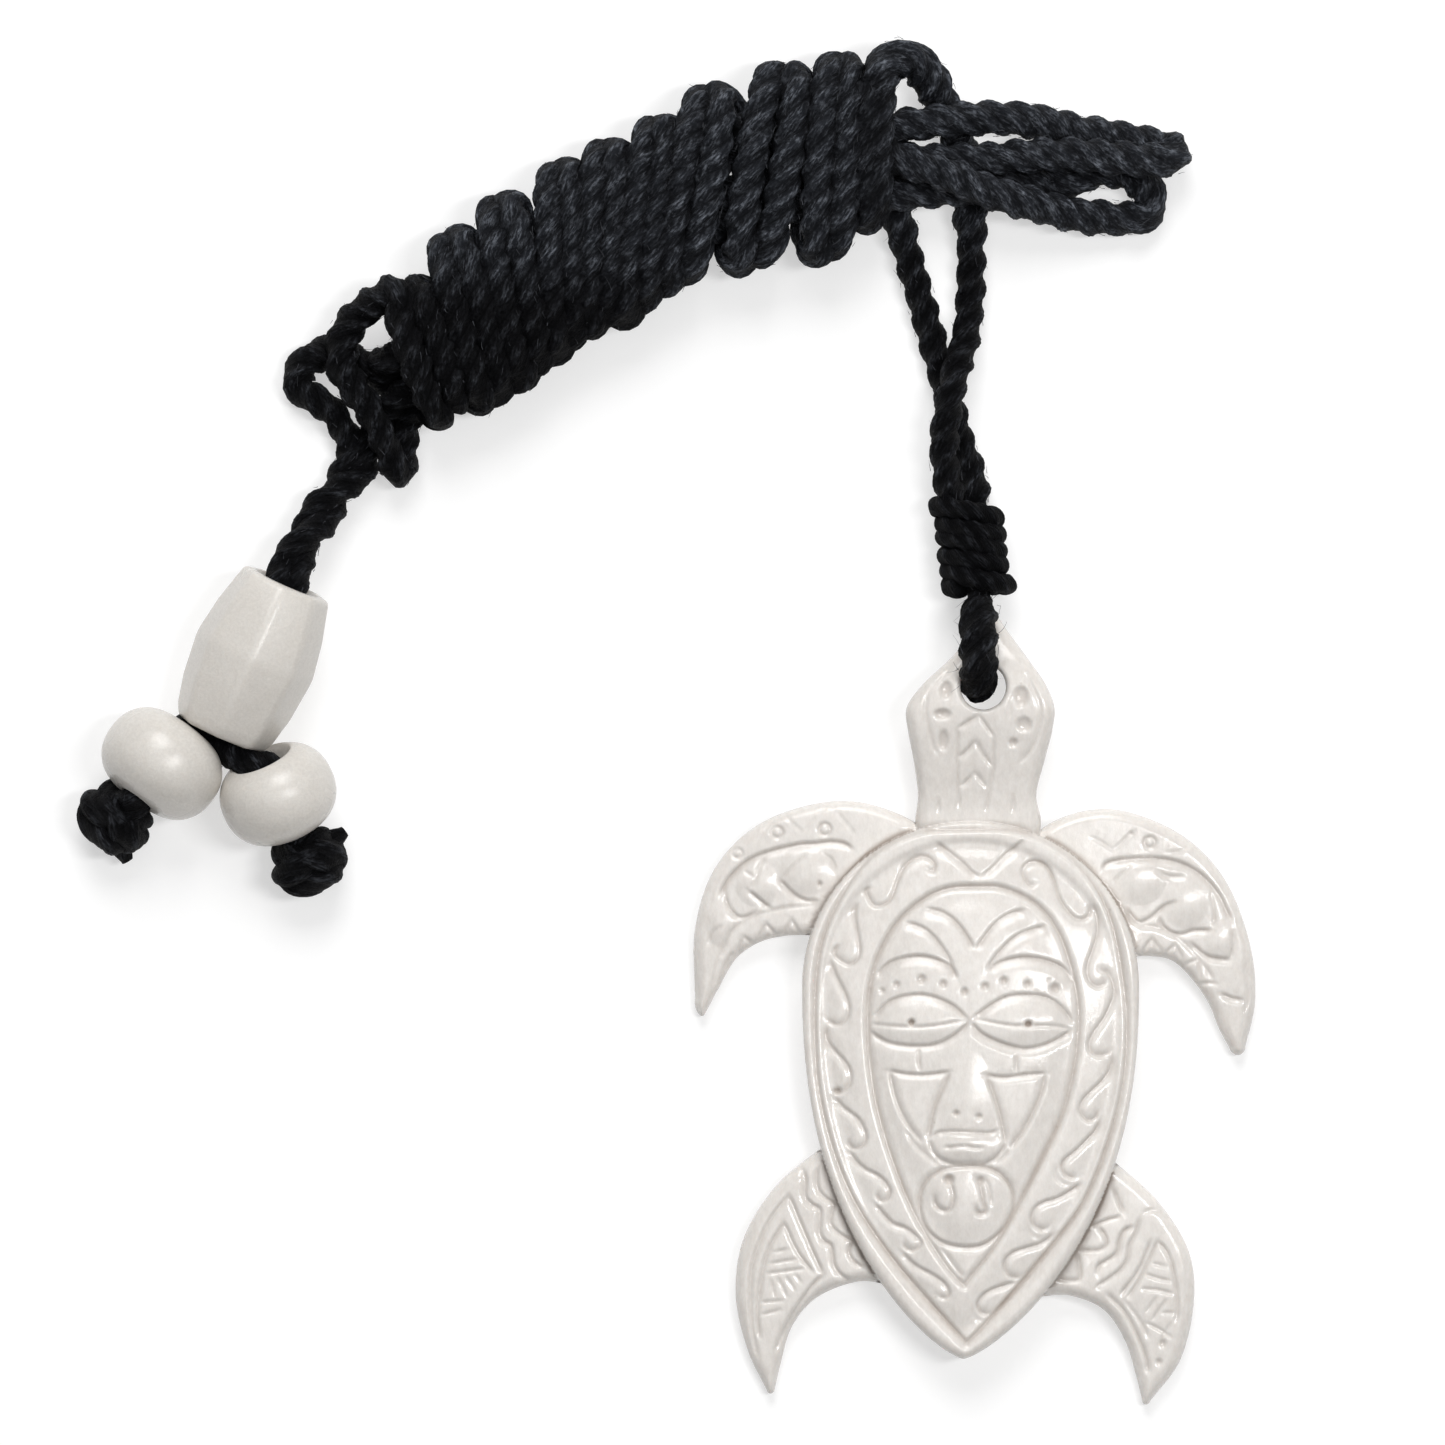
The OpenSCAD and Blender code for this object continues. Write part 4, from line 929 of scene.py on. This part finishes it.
# The forms: shell, flippers and head, each an outline, its height and the radius of its edge
profile = smooth_route(shell_profile, 0.02)
middle = np.array([-0.2, 4.8])
turn_at = np.arctan2(grid_y - middle[1], grid_x - middle[0])
out_at = np.hypot(grid_x - middle[0], grid_y - middle[1])
shell_rings = []
for part in (0, 0.25, 0.5, 0.75, 1):
    ring = egg([a + (b - a) * part for a, b in zip(shell_edge, face_oval)]) - middle
    angle = np.arctan2(ring[:, 1], ring[:, 0])
    order = np.argsort(angle)
    shell_rings.append(np.interp(turn_at, angle[order], np.hypot(ring[:, 0], ring[:, 1])[order],
                                 period=2 * math.pi))
place = np.where(out_at <= shell_rings[-1], 2 - out_at / shell_rings[-1], 0)
for i in range(4):
    outer, inner = shell_rings[i], shell_rings[i + 1]
    between = (out_at > inner) & (out_at <= outer)
    place = np.where(between, (i + (outer - out_at) / (outer - inner)) / 4, place)
forms = [(egg(shell_edge, 720), np.interp(place, profile[:, 0], profile[:, 1]), 0.65)]
edge_step = 0.15
for outer, inner, root, tip in flippers:
    outer, inner = smooth_route(outer, edge_step), smooth_route(inner, edge_step)
    ahead = unit(outer[-1] - outer[-4] + inner[-1] - inner[-4])
    cap = round_end(outer[-1], inner[-1], ahead * np.linalg.norm((outer[-1] - inner[-1]) / 2))
    spine_t = np.linspace(0, 1, 30)
    spine = np.column_stack([
        (np.interp(spine_t, np.linspace(0, 1, len(outer)), outer[:, k])
         + np.interp(spine_t, np.linspace(0, 1, len(inner)), inner[:, k])) / 2 for k in (0, 1)])
    weight, total = np.zeros(grid_x.shape), np.zeros(grid_x.shape)
    for t, at in zip(spine_t, spine):
        pull = np.exp(-((grid_x - at[0]) ** 2 + (grid_y - at[1]) ** 2) / 5) + 1e-12
        weight += pull
        total += pull * t
    forms.append((np.vstack([outer, cap, inner[::-1]]), root + (tip - root) * (total / weight) ** 1.5, 0.8))
rows = smooth_route(head_rows, edge_step)
right, left = rows[:, [2, 0]], rows[:, [1, 0]]
cap = round_end(right[-1], left[-1], np.array([0, 0.5 * (right[-1, 0] - left[-1, 0]) / 2]))
forms.append((np.vstack([right, cap, left[::-1]]), np.interp(grid_y, rows[:, 0], rows[:, 4]), 0.8))

height = np.full(grid_x.shape, -9.0)
skirt = np.full(grid_x.shape, -9.0)
inside_by = np.full(grid_x.shape, -9.0)
for outline, top, radius in forms:
    near = beside(np.vstack([outline, outline[:1]]), radius)[0]
    filled = within(outline)
    level = top - rounded(np.where(filled, near, 0), radius)
    height = np.where(filled, np.maximum(height, level), height)
    skirt = np.where(filled | (near > 3 * bone_step), skirt, np.maximum(skirt, level))
    inside_by = np.maximum(inside_by, np.where(filled, near, -near))
height = np.where(inside_by > 0, height, skirt)
from_hole = np.hypot(grid_x - head_hole[0], grid_y - head_hole[1]) - head_hole_r
height -= rounded(np.maximum(from_hole, 0), 0.35)
inside_by = np.minimum(inside_by, from_hole)

# The carving: a steep wall on the narrow side of each cut and a soft slope on the wide one. The
# long cuts keep their depth to their ends, and all others rise out of the bone there. The bone is
# worn, so that two thirds of each depth are left.
long_cuts = ("rim groove", "face oval", "chin ring")
left_by_wear = 0.66
wide_side = 0.25
cut = np.zeros(grid_x.shape)
for name, cuts in carving.items():
    for depth, left, right, *points in cuts:
        line = smooth_route(np.reshape(points, (-1, 2)), 0.12)
        widths = [w * 1.25 if w > wide_side else w for w in (left, right)]
        near, side, run, length = beside(line, max(widths))
        reach = np.where(side > 0, widths[0], widths[1])
        wall = np.clip(1 - near / reach, 0, 1) ** np.where(reach > wide_side, 1.7, 1.1)
        taper = 1
        if name not in long_cuts:
            taper = 0.3 + 0.7 * np.clip(np.minimum(run, length - run) / 0.4, 0, 1) ** 0.7
        cut = np.maximum(cut, left_by_wear * depth * taper * wall)
for spots in bowls.values():
    for x, y, half_x, half_y, depth in spots:
        part = np.clip(1 - ((grid_x - x) / half_x) ** 2 - ((grid_y - y) / half_y) ** 2, 0, 1)
        cut = np.maximum(cut, depth * np.sqrt(part))
for x, y, radius, width in rings:
    part = np.clip(1 - np.abs(np.hypot(grid_x - x, grid_y - y) - radius) / width, 0, 1)
    cut = np.maximum(cut, 0.2 * part)
for x, y, half_x, half_y, rise in swellings:
    part = np.clip(1 - ((grid_x - x) / half_x) ** 2 - ((grid_y - y) / half_y) ** 2, 0, 1)
    height += rise * part ** 1.3
cut = softened(cut, 1)
height -= cut
hollow = np.clip(softened(height, 24) - height, 0, 1) * (inside_by > 0.5)

# Grid points inside the outline become the mesh's corners, and so does every place where the
# outline crosses an edge of the grid
inside = inside_by > 0
grid_corners = int(inside.sum())
count = grid_corners
number = np.full(inside.shape, -1)
number[inside] = np.arange(count)
corners = [np.column_stack([grid_x[inside], grid_y[inside], height[inside]])]
crossing = {}
for down, over in ((0, 1), (1, 0)):
    first = (slice(0, inside.shape[0] - down), slice(0, inside.shape[1] - over))
    second = (slice(down, None), slice(over, None))
    hits = np.argwhere(inside[first] != inside[second])
    for j, i in hits:
        a, b = (j, i), (j + down, i + over)
        part = min(max(inside_by[a] / (inside_by[a] - inside_by[b]), 0.12), 0.88)
        corners.append([[field[a] + (field[b] - field[a]) * part for field in (grid_x, grid_y, height)]])
        crossing[a, b] = crossing[b, a] = count
        count += 1
full = inside[:-1, :-1] & inside[:-1, 1:] & inside[1:, 1:] & inside[1:, :-1]
some = inside[:-1, :-1] | inside[:-1, 1:] | inside[1:, 1:] | inside[1:, :-1]
faces = np.stack([number[:-1, :-1][full], number[:-1, 1:][full], number[1:, 1:][full],
                  number[1:, :-1][full]], axis=1).tolist()
following = {}
for j, i in np.argwhere(some & ~full):
    ring = [(j, i), (j, i + 1), (j + 1, i + 1), (j + 1, i)]
    face = []
    for a, b in zip(ring, ring[1:] + ring[:1]):
        if inside[a]:
            face.append(int(number[a]))
        if inside[a] != inside[b]:
            face.append(crossing[a, b])
    faces.append(face)
    for a, b in zip(face, face[1:] + face[:1]):
        if a >= grid_corners and b >= grid_corners:
            following[a] = b
corners = np.vstack(corners)

# The walls go down from the outline to a flat underside, which is raised under the head
head_left = -4.6
head_right = 5.7


def underside(places):
    """How high the underside lies at some places."""
    under_head = (places[:, 0] > head_left) & (places[:, 0] < head_right)
    return np.where(under_head, np.interp(places[:, 1], rows[:, 0], rows[:, 3]), 0)


flat_corners, flat_edges = [], []
while following:
    loop = [next(iter(following))]
    while following.get(loop[-1], loop[0]) != loop[0]:
        loop.append(following.pop(loop[-1]))
    following.pop(loop[-1], None)
    rim = corners[loop]
    if np.ptp(rim[:, 1]) < 3 * head_hole_r:
        hole_rim = rim[:, 0] + 1j * rim[:, 1]
    above = loop
    for up in (0.4, 0):
        ring = np.column_stack([rim[:, :2], underside(rim) + up])
        below = list(range(len(corners), len(corners) + len(ring)))
        corners = np.vstack([corners, ring])
        for k in range(len(loop)):
            n = (k + 1) % len(loop)
            faces.append([above[n], above[k], below[k], below[n]])
        above = below
    start = len(flat_corners)
    flat_corners += above
    flat_edges += [(start + k, start + (k + 1) % len(above)) for k in range(len(above))]
# Some corners inside the underside keep its faces small
flat_step = 11
spread = np.argwhere(inside_by[::flat_step, ::flat_step] > 0.6) * flat_step
extra = np.array([[grid_x[j, i], grid_y[j, i]] for j, i in spread])
flat_corners += list(range(len(corners), len(corners) + len(extra)))
corners = np.vstack([corners, np.column_stack([extra, underside(extra)])])
flat = delaunay_2d_cdt([Vector(corners[v][:2]) for v in flat_corners], flat_edges, [], 1, 1e-5)
for face in flat[2]:
    ids = [flat_corners[flat[3][v][0]] for v in face]
    # A face in the hole is one that the hole's rim goes round
    spokes = hole_rim - complex(*corners[ids][:, :2].mean(axis=0))
    if abs(np.angle(np.roll(spokes, -1) / spokes).sum()) < 1:
        faces.append(ids[::-1])


def pick(piece):
    """Selects one piece alone and makes it the active one."""
    bpy.ops.object.select_all(action="DESELECT")
    piece.select_set(True)
    bpy.context.view_layer.objects.active = piece


def finished(piece, modifier, **values):
    """Adds a modifier to a piece with some of its values set, and applies it."""
    pick(piece)
    made = piece.modifiers.new("step", modifier)
    for key, value in values.items():
        setattr(made, key, value)
    bpy.ops.object.modifier_apply(modifier="step")


most_triangles = 188000
turtle = new_piece("turtle_carved", corners, faces)
triangles = sum(len(p.vertices) - 2 for p in turtle.data.polygons)
finished(turtle, "DECIMATE", ratio=min(1, most_triangles / triangles))
mesh = turtle.data
places = np.empty(len(mesh.vertices) * 3)
mesh.vertices.foreach_get("co", places)
places = places.reshape(-1, 3) / MM
column = np.clip(np.rint((places[:, 0] - bone_low[0]) / bone_step).astype(int), 0, grid_x.shape[1] - 1)
row = np.clip(np.rint((places[:, 1] - bone_low[1]) / bone_step).astype(int), 0, grid_x.shape[0] - 1)
topside = places[:, 2] > height[row, column] - 0.25
for name, field in (("groove", cut), ("hollow", hollow)):
    mesh.attributes.new(name, "FLOAT", "POINT").data.foreach_set("value", field[row, column] * topside)
for polygon in mesh.polygons:
    polygon.use_smooth = True
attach(turtle, "root")
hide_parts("turtle")

# The polish of all the bone: fine grain along its length, a few pores, tan dirt left deep in the
# cuts, and a smooth gloss that is a little worn in places
wear = bpy.data.node_groups.new("bone grain", "ShaderNodeTree")
for name in ("Place", "Along"):
    wear.interface.new_socket(name, in_out="INPUT", socket_type="NodeSocketVector")
for name in ("Grain", "Cloud", "Pores"):
    wear.interface.new_socket(name, in_out="OUTPUT", socket_type="NodeSocketFloat")
enter, leave = wear.nodes.new("NodeGroupInput"), wear.nodes.new("NodeGroupOutput")
place = enter.outputs["Place"]
stretched = add(wear, "VectorMath", place, enter.outputs["Along"], operation="MULTIPLY")
cells = plug(wear.nodes.new("ShaderNodeTexVoronoi"), place, Scale=900)
small = add(wear, "MapRange", cells.outputs["Distance"], 0.02, 0.11, 1, 0)
chosen = add(wear, "SeparateColor", cells.outputs["Color"], take="Red")
chosen = add(wear, "Math", chosen, 0.86, operation="GREATER_THAN")
plug(leave, Grain=add(wear, "TexNoise", stretched, Scale=1, Detail=6, Roughness=0.7),
     Cloud=add(wear, "TexNoise", place, Scale=140, Detail=3, Roughness=0.7),
     Pores=product(wear, small, chosen))


def bone_material(name, light, dark, along, carved):
    """Polished bone, from its lighter and darker tone and the direction that its grain runs."""
    material, tree, shader = new_finish(
        name, Specular_IOR_Level=0.5, Subsurface_Weight=0.12, Subsurface_Radius=(1.0, 0.8, 0.65),
        Subsurface_Scale=0.0006)
    grain = tree.nodes.new("ShaderNodeGroup")
    grain.node_tree = wear
    plug(grain, Place=add(tree, "TexCoord", take="Object"), Along=along)
    grains, cloud, pores = (grain.outputs[key] for key in ("Grain", "Cloud", "Pores"))
    tones = add(tree, "Mix", take="Result", Factor=0.35, A=grains, B=cloud)
    colour = ramp(tree, tones, (0.35, dark), (0.65, light))
    gloss = (0.15, 0.32)
    if carved:
        gloss = (0.1, 0.25)
        deep = add(tree, "Math", read(tree, "hollow"), 2.4, read(tree, "groove"), operation="MULTIPLY_ADD")
        dirt = add(tree, "MapRange", deep, 0.07, 0.8, 0, 0.85)
        patches = add(tree, "MapRange", cloud, 0.35, 0.65, 0.45, 1)
        colour = blend(tree, product(tree, dirt, patches), colour, (0.30, 0.235, 0.19, 1))
    colour = blend(tree, product(tree, pores, 0.3), colour, (0.34, 0.28, 0.22, 1))
    plug(shader, Base_Color=colour, Roughness=add(tree, "MapRange", cloud, 0.3, 0.7, *gloss),
         Normal=add(tree, "Bump", Strength=0.5, Distance=0.00003, Height=grains))
    return material


turtle.data.materials.append(bone_material(
    "carved bone", (0.83, 0.795, 0.755, 1), (0.70, 0.662, 0.622, 1), (3000, 1500, 3000), True))

# The barrel bead: a bone bead with eight flats cut on each half, that meet in a soft ridge round
# its middle, and a bore that both strands go through. The corners are rubbed round.
bead_bone = bone_material(
    "bead bone", (0.72, 0.69, 0.645, 1), (0.60, 0.57, 0.53, 1), (5200, 5200, 3600), False)
# How far along its length, and how wide it is there
barrel_rows = [(0, 6), (0.25, 7.4), (0.48, 8.2), (0.75, 7.6), (0.94, 6.7), (1, 5.9)]
barrel_bore = 3.2
barrel_mouth = 0.75
barrel_roll = math.radians(22)


def bored(piece, cutters):
    """Takes round cutters out of a piece: each its two radii, and where it starts and ends."""
    for low_r, high_r, low, high in cutters:
        bpy.ops.mesh.primitive_cone_add(
            vertices=48, radius1=low_r * MM, radius2=high_r * MM, depth=(high - low) * MM,
            location=(0, 0, (low + high) / 2 * MM))
        cutter = bpy.context.object
        finished(piece, "BOOLEAN", object=cutter, operation="DIFFERENCE", solver="EXACT")
        bpy.data.objects.remove(cutter)


# Corners of a bead that lie closer than this are one
weld = 0.004


def set_down(piece, at, way, roll=0.0):
    """Turns a piece that stands at the origin along a direction, and puts it in its place."""
    turn = Vector((0, 0, 1)).rotation_difference(Vector([float(v) for v in way]))
    piece.matrix_world = (Matrix.Translation(Vector([float(v) * MM for v in at]))
                          @ turn.to_matrix().to_4x4() @ Matrix.Rotation(roll, 4, "Z"))
    pick(piece)
    bpy.ops.object.transform_apply(location=True, rotation=True, scale=True)
    bpy.ops.object.mode_set(mode="EDIT")
    bpy.ops.mesh.select_all(action="SELECT")
    bpy.ops.mesh.remove_doubles(threshold=weld * MM)
    bpy.ops.object.mode_set(mode="OBJECT")
    bpy.ops.object.shade_smooth_by_angle(angle=math.radians(40))


bpy.ops.mesh.primitive_circle_add(vertices=8, radius=barrel_rows[0][1] / 2 * MM, fill_type="NGON",
                                  location=(0, 0, 0))
barrel = bpy.context.object
barrel.name = "barrel_facets"
bpy.ops.object.mode_set(mode="EDIT")
bpy.ops.mesh.select_all(action="SELECT")
for (place_a, wide_a), (place_b, wide_b) in zip(barrel_rows, barrel_rows[1:]):
    bpy.ops.mesh.extrude_region_move(
        TRANSFORM_OT_translate={"value": (0, 0, (place_b - place_a) * barrel_l * MM)})
    bpy.ops.transform.resize(value=(wide_b / wide_a, wide_b / wide_a, 1),
                             center_override=(0, 0, place_b * barrel_l * MM))
bpy.ops.mesh.select_all(action="SELECT")
bpy.ops.mesh.normals_make_consistent(inside=False)
bpy.ops.object.mode_set(mode="OBJECT")
finished(barrel, "BEVEL", width=0.75 * MM, segments=6, limit_method="ANGLE", angle_limit=math.radians(8))
bored(barrel, [(barrel_bore / 2, barrel_bore / 2, -1, barrel_l + 1),
               (barrel_bore / 2 + barrel_mouth, barrel_bore / 2, -0.3, 0.9)])
finished(barrel, "BEVEL", width=0.12 * MM, segments=3, limit_method="ANGLE", angle_limit=math.radians(40))
set_down(barrel, barrel_high, barrel_dir, barrel_roll)
barrel.data.materials.append(bead_bone)
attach(barrel, "root")
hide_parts("barrel_bead")

# The two side beads: rounded discs turned from bone, with a wide dished mouth to the bore on the
# side of the barrel bead
side_bore = 2.2
for name, node, wide, mouth, at, way in (
    ("left_bead_turned", "left_side_bead", left_bead_d, 0.1, left_bead_at, left_bore),
    ("right_bead_turned", "right_side_bead", right_bead_d, 1.1, right_bead_at, right_bead_dir),
):
    bpy.ops.mesh.primitive_cylinder_add(vertices=72, radius=wide / 2 * MM, depth=side_bead_t * MM,
                                        location=(0, 0, 0))
    bead = bpy.context.object
    bead.name = name
    finished(bead, "BEVEL", width=2.7 * MM, segments=14, limit_method="ANGLE",
             angle_limit=math.radians(40), profile=0.52)
    bored(bead, [(side_bore / 2, side_bore / 2, -side_bead_t, side_bead_t),
                 (side_bore / 2 + mouth, side_bore / 2, -side_bead_t / 2 - 0.2, -side_bead_t / 2 + 1.6)])
    finished(bead, "BEVEL", width=0.16 * MM, segments=4, limit_method="ANGLE", angle_limit=math.radians(35))
    set_down(bead, at, way)
    bead.data.materials.append(bead_bone)
    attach(bead, "root")
    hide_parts(node)

# The knots: each strand ends in a tight overhand knot against its bead, with a short frayed end.
# The knot is wound as a ball whose pole goes round the strand while the cord turns round the pole.
knot_cord = 2.3
knot_r = 1.52
pole_turns = 1.15
pole_lean = 0.85
cord_turns = 3.1
frayed = 14
for name, node, at, way, end in (
    ("left_knot_tied", "left_knot", left_bead_at + left_bead_dir * (knot_place + 0.3), left_bead_dir,
     [-53.9, 14.7, 1.2]),
    ("right_knot_tied", "right_knot", right_bead_at + right_bead_dir * (knot_place + 0.3), right_bead_dir,
     [-40, 16.6, 1.8]),
):
    across, over = level_frame(way)
    points = []
    for t in np.linspace(0, 1, 60):
        swing = 2 * math.pi * pole_turns * t + 0.6
        pole = (way * math.cos(pole_lean)
                + (across * math.cos(swing) + over * math.sin(swing)) * math.sin(pole_lean))
        first = unit(np.cross(pole, over if abs(pole @ over) < 0.9 else across))
        angle = 2 * math.pi * cord_turns * t
        out = first * math.cos(angle) + np.cross(pole, first) * math.sin(angle)
        points.append(at + (out - way * (out @ way) * 0.25) * knot_r)
    end = np.array(end)
    points += [points[-1] * 0.35 + end * 0.65 + [0, 0, 0.3], end]
    route = smooth_route(points, 0.16)
    route[:, 2] = np.maximum(route[:, 2], knot_cord / 2)
    widths = np.full(len(route), knot_cord)
    widths[-frayed:] = np.linspace(1, 0.35, frayed) * knot_cord
    knot = rope(name, route, widths, lay, least=0.84)
    knot.data.materials.append(cord_finish)
    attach(knot, "root")
    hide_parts(node)

# The surface the pendant lies on: a plain white sheet of card that glows a little, painted light that lifts
# the shadows on it
bpy.ops.mesh.primitive_plane_add(size=1.6, location=(view_x, view_y, 0))
floor = bpy.context.object
floor.name = "floor"
card, tree, shader = new_finish(
    "glowing white card", Base_Color=(0.55, 0.55, 0.55, 1), Emission_Color=(1, 1, 1, 1),
    Emission_Strength=0.5, Roughness=0.9, Specular_IOR_Level=0.2)
tooth = add(tree, "TexNoise", add(tree, "TexCoord", take="Object"), Scale=1800)
plug(shader, Normal=add(tree, "Bump", Strength=0.1, Distance=0.00003, Height=tooth))
floor.data.materials.append(card)

# The main light comes softly from the top of the picture and a weaker one from right above. A
# narrow one a little to the right gives the polish its sheen, and the room fills in the rest.
# Each has its place, its two sides in metres and its watts.
for name, at, wide, high, power in (
    ("top_light", (-0.06, 0.57, 0.57), 0.42, 0.42, 4.05), ("overhead", (-0.1, 0.0, 1.0), 0.7, 0.7, 1.72),
    ("sheen_light", (0.29, 0.07, 0.75), 0.1, 0.28, 2.4),
):
    data = bpy.data.lights.new(name, "AREA")
    data.shape = "RECTANGLE"
    data.size, data.size_y = wide, high
    data.energy = power
    lamp = bpy.data.objects.new(name, data)
    lamp.location = at
    aim = Vector((view_x, view_y, 0)) - Vector(at)
    lamp.rotation_euler = aim.to_track_quat("-Z", "Y").to_euler()
    bpy.context.scene.collection.objects.link(lamp)
world = bpy.data.worlds.new("studio")
world.use_nodes = True
world.node_tree.nodes["Background"].inputs["Color"].default_value = (1, 1, 1, 1)
world.node_tree.nodes["Background"].inputs["Strength"].default_value = 0.12
bpy.context.scene.world = world
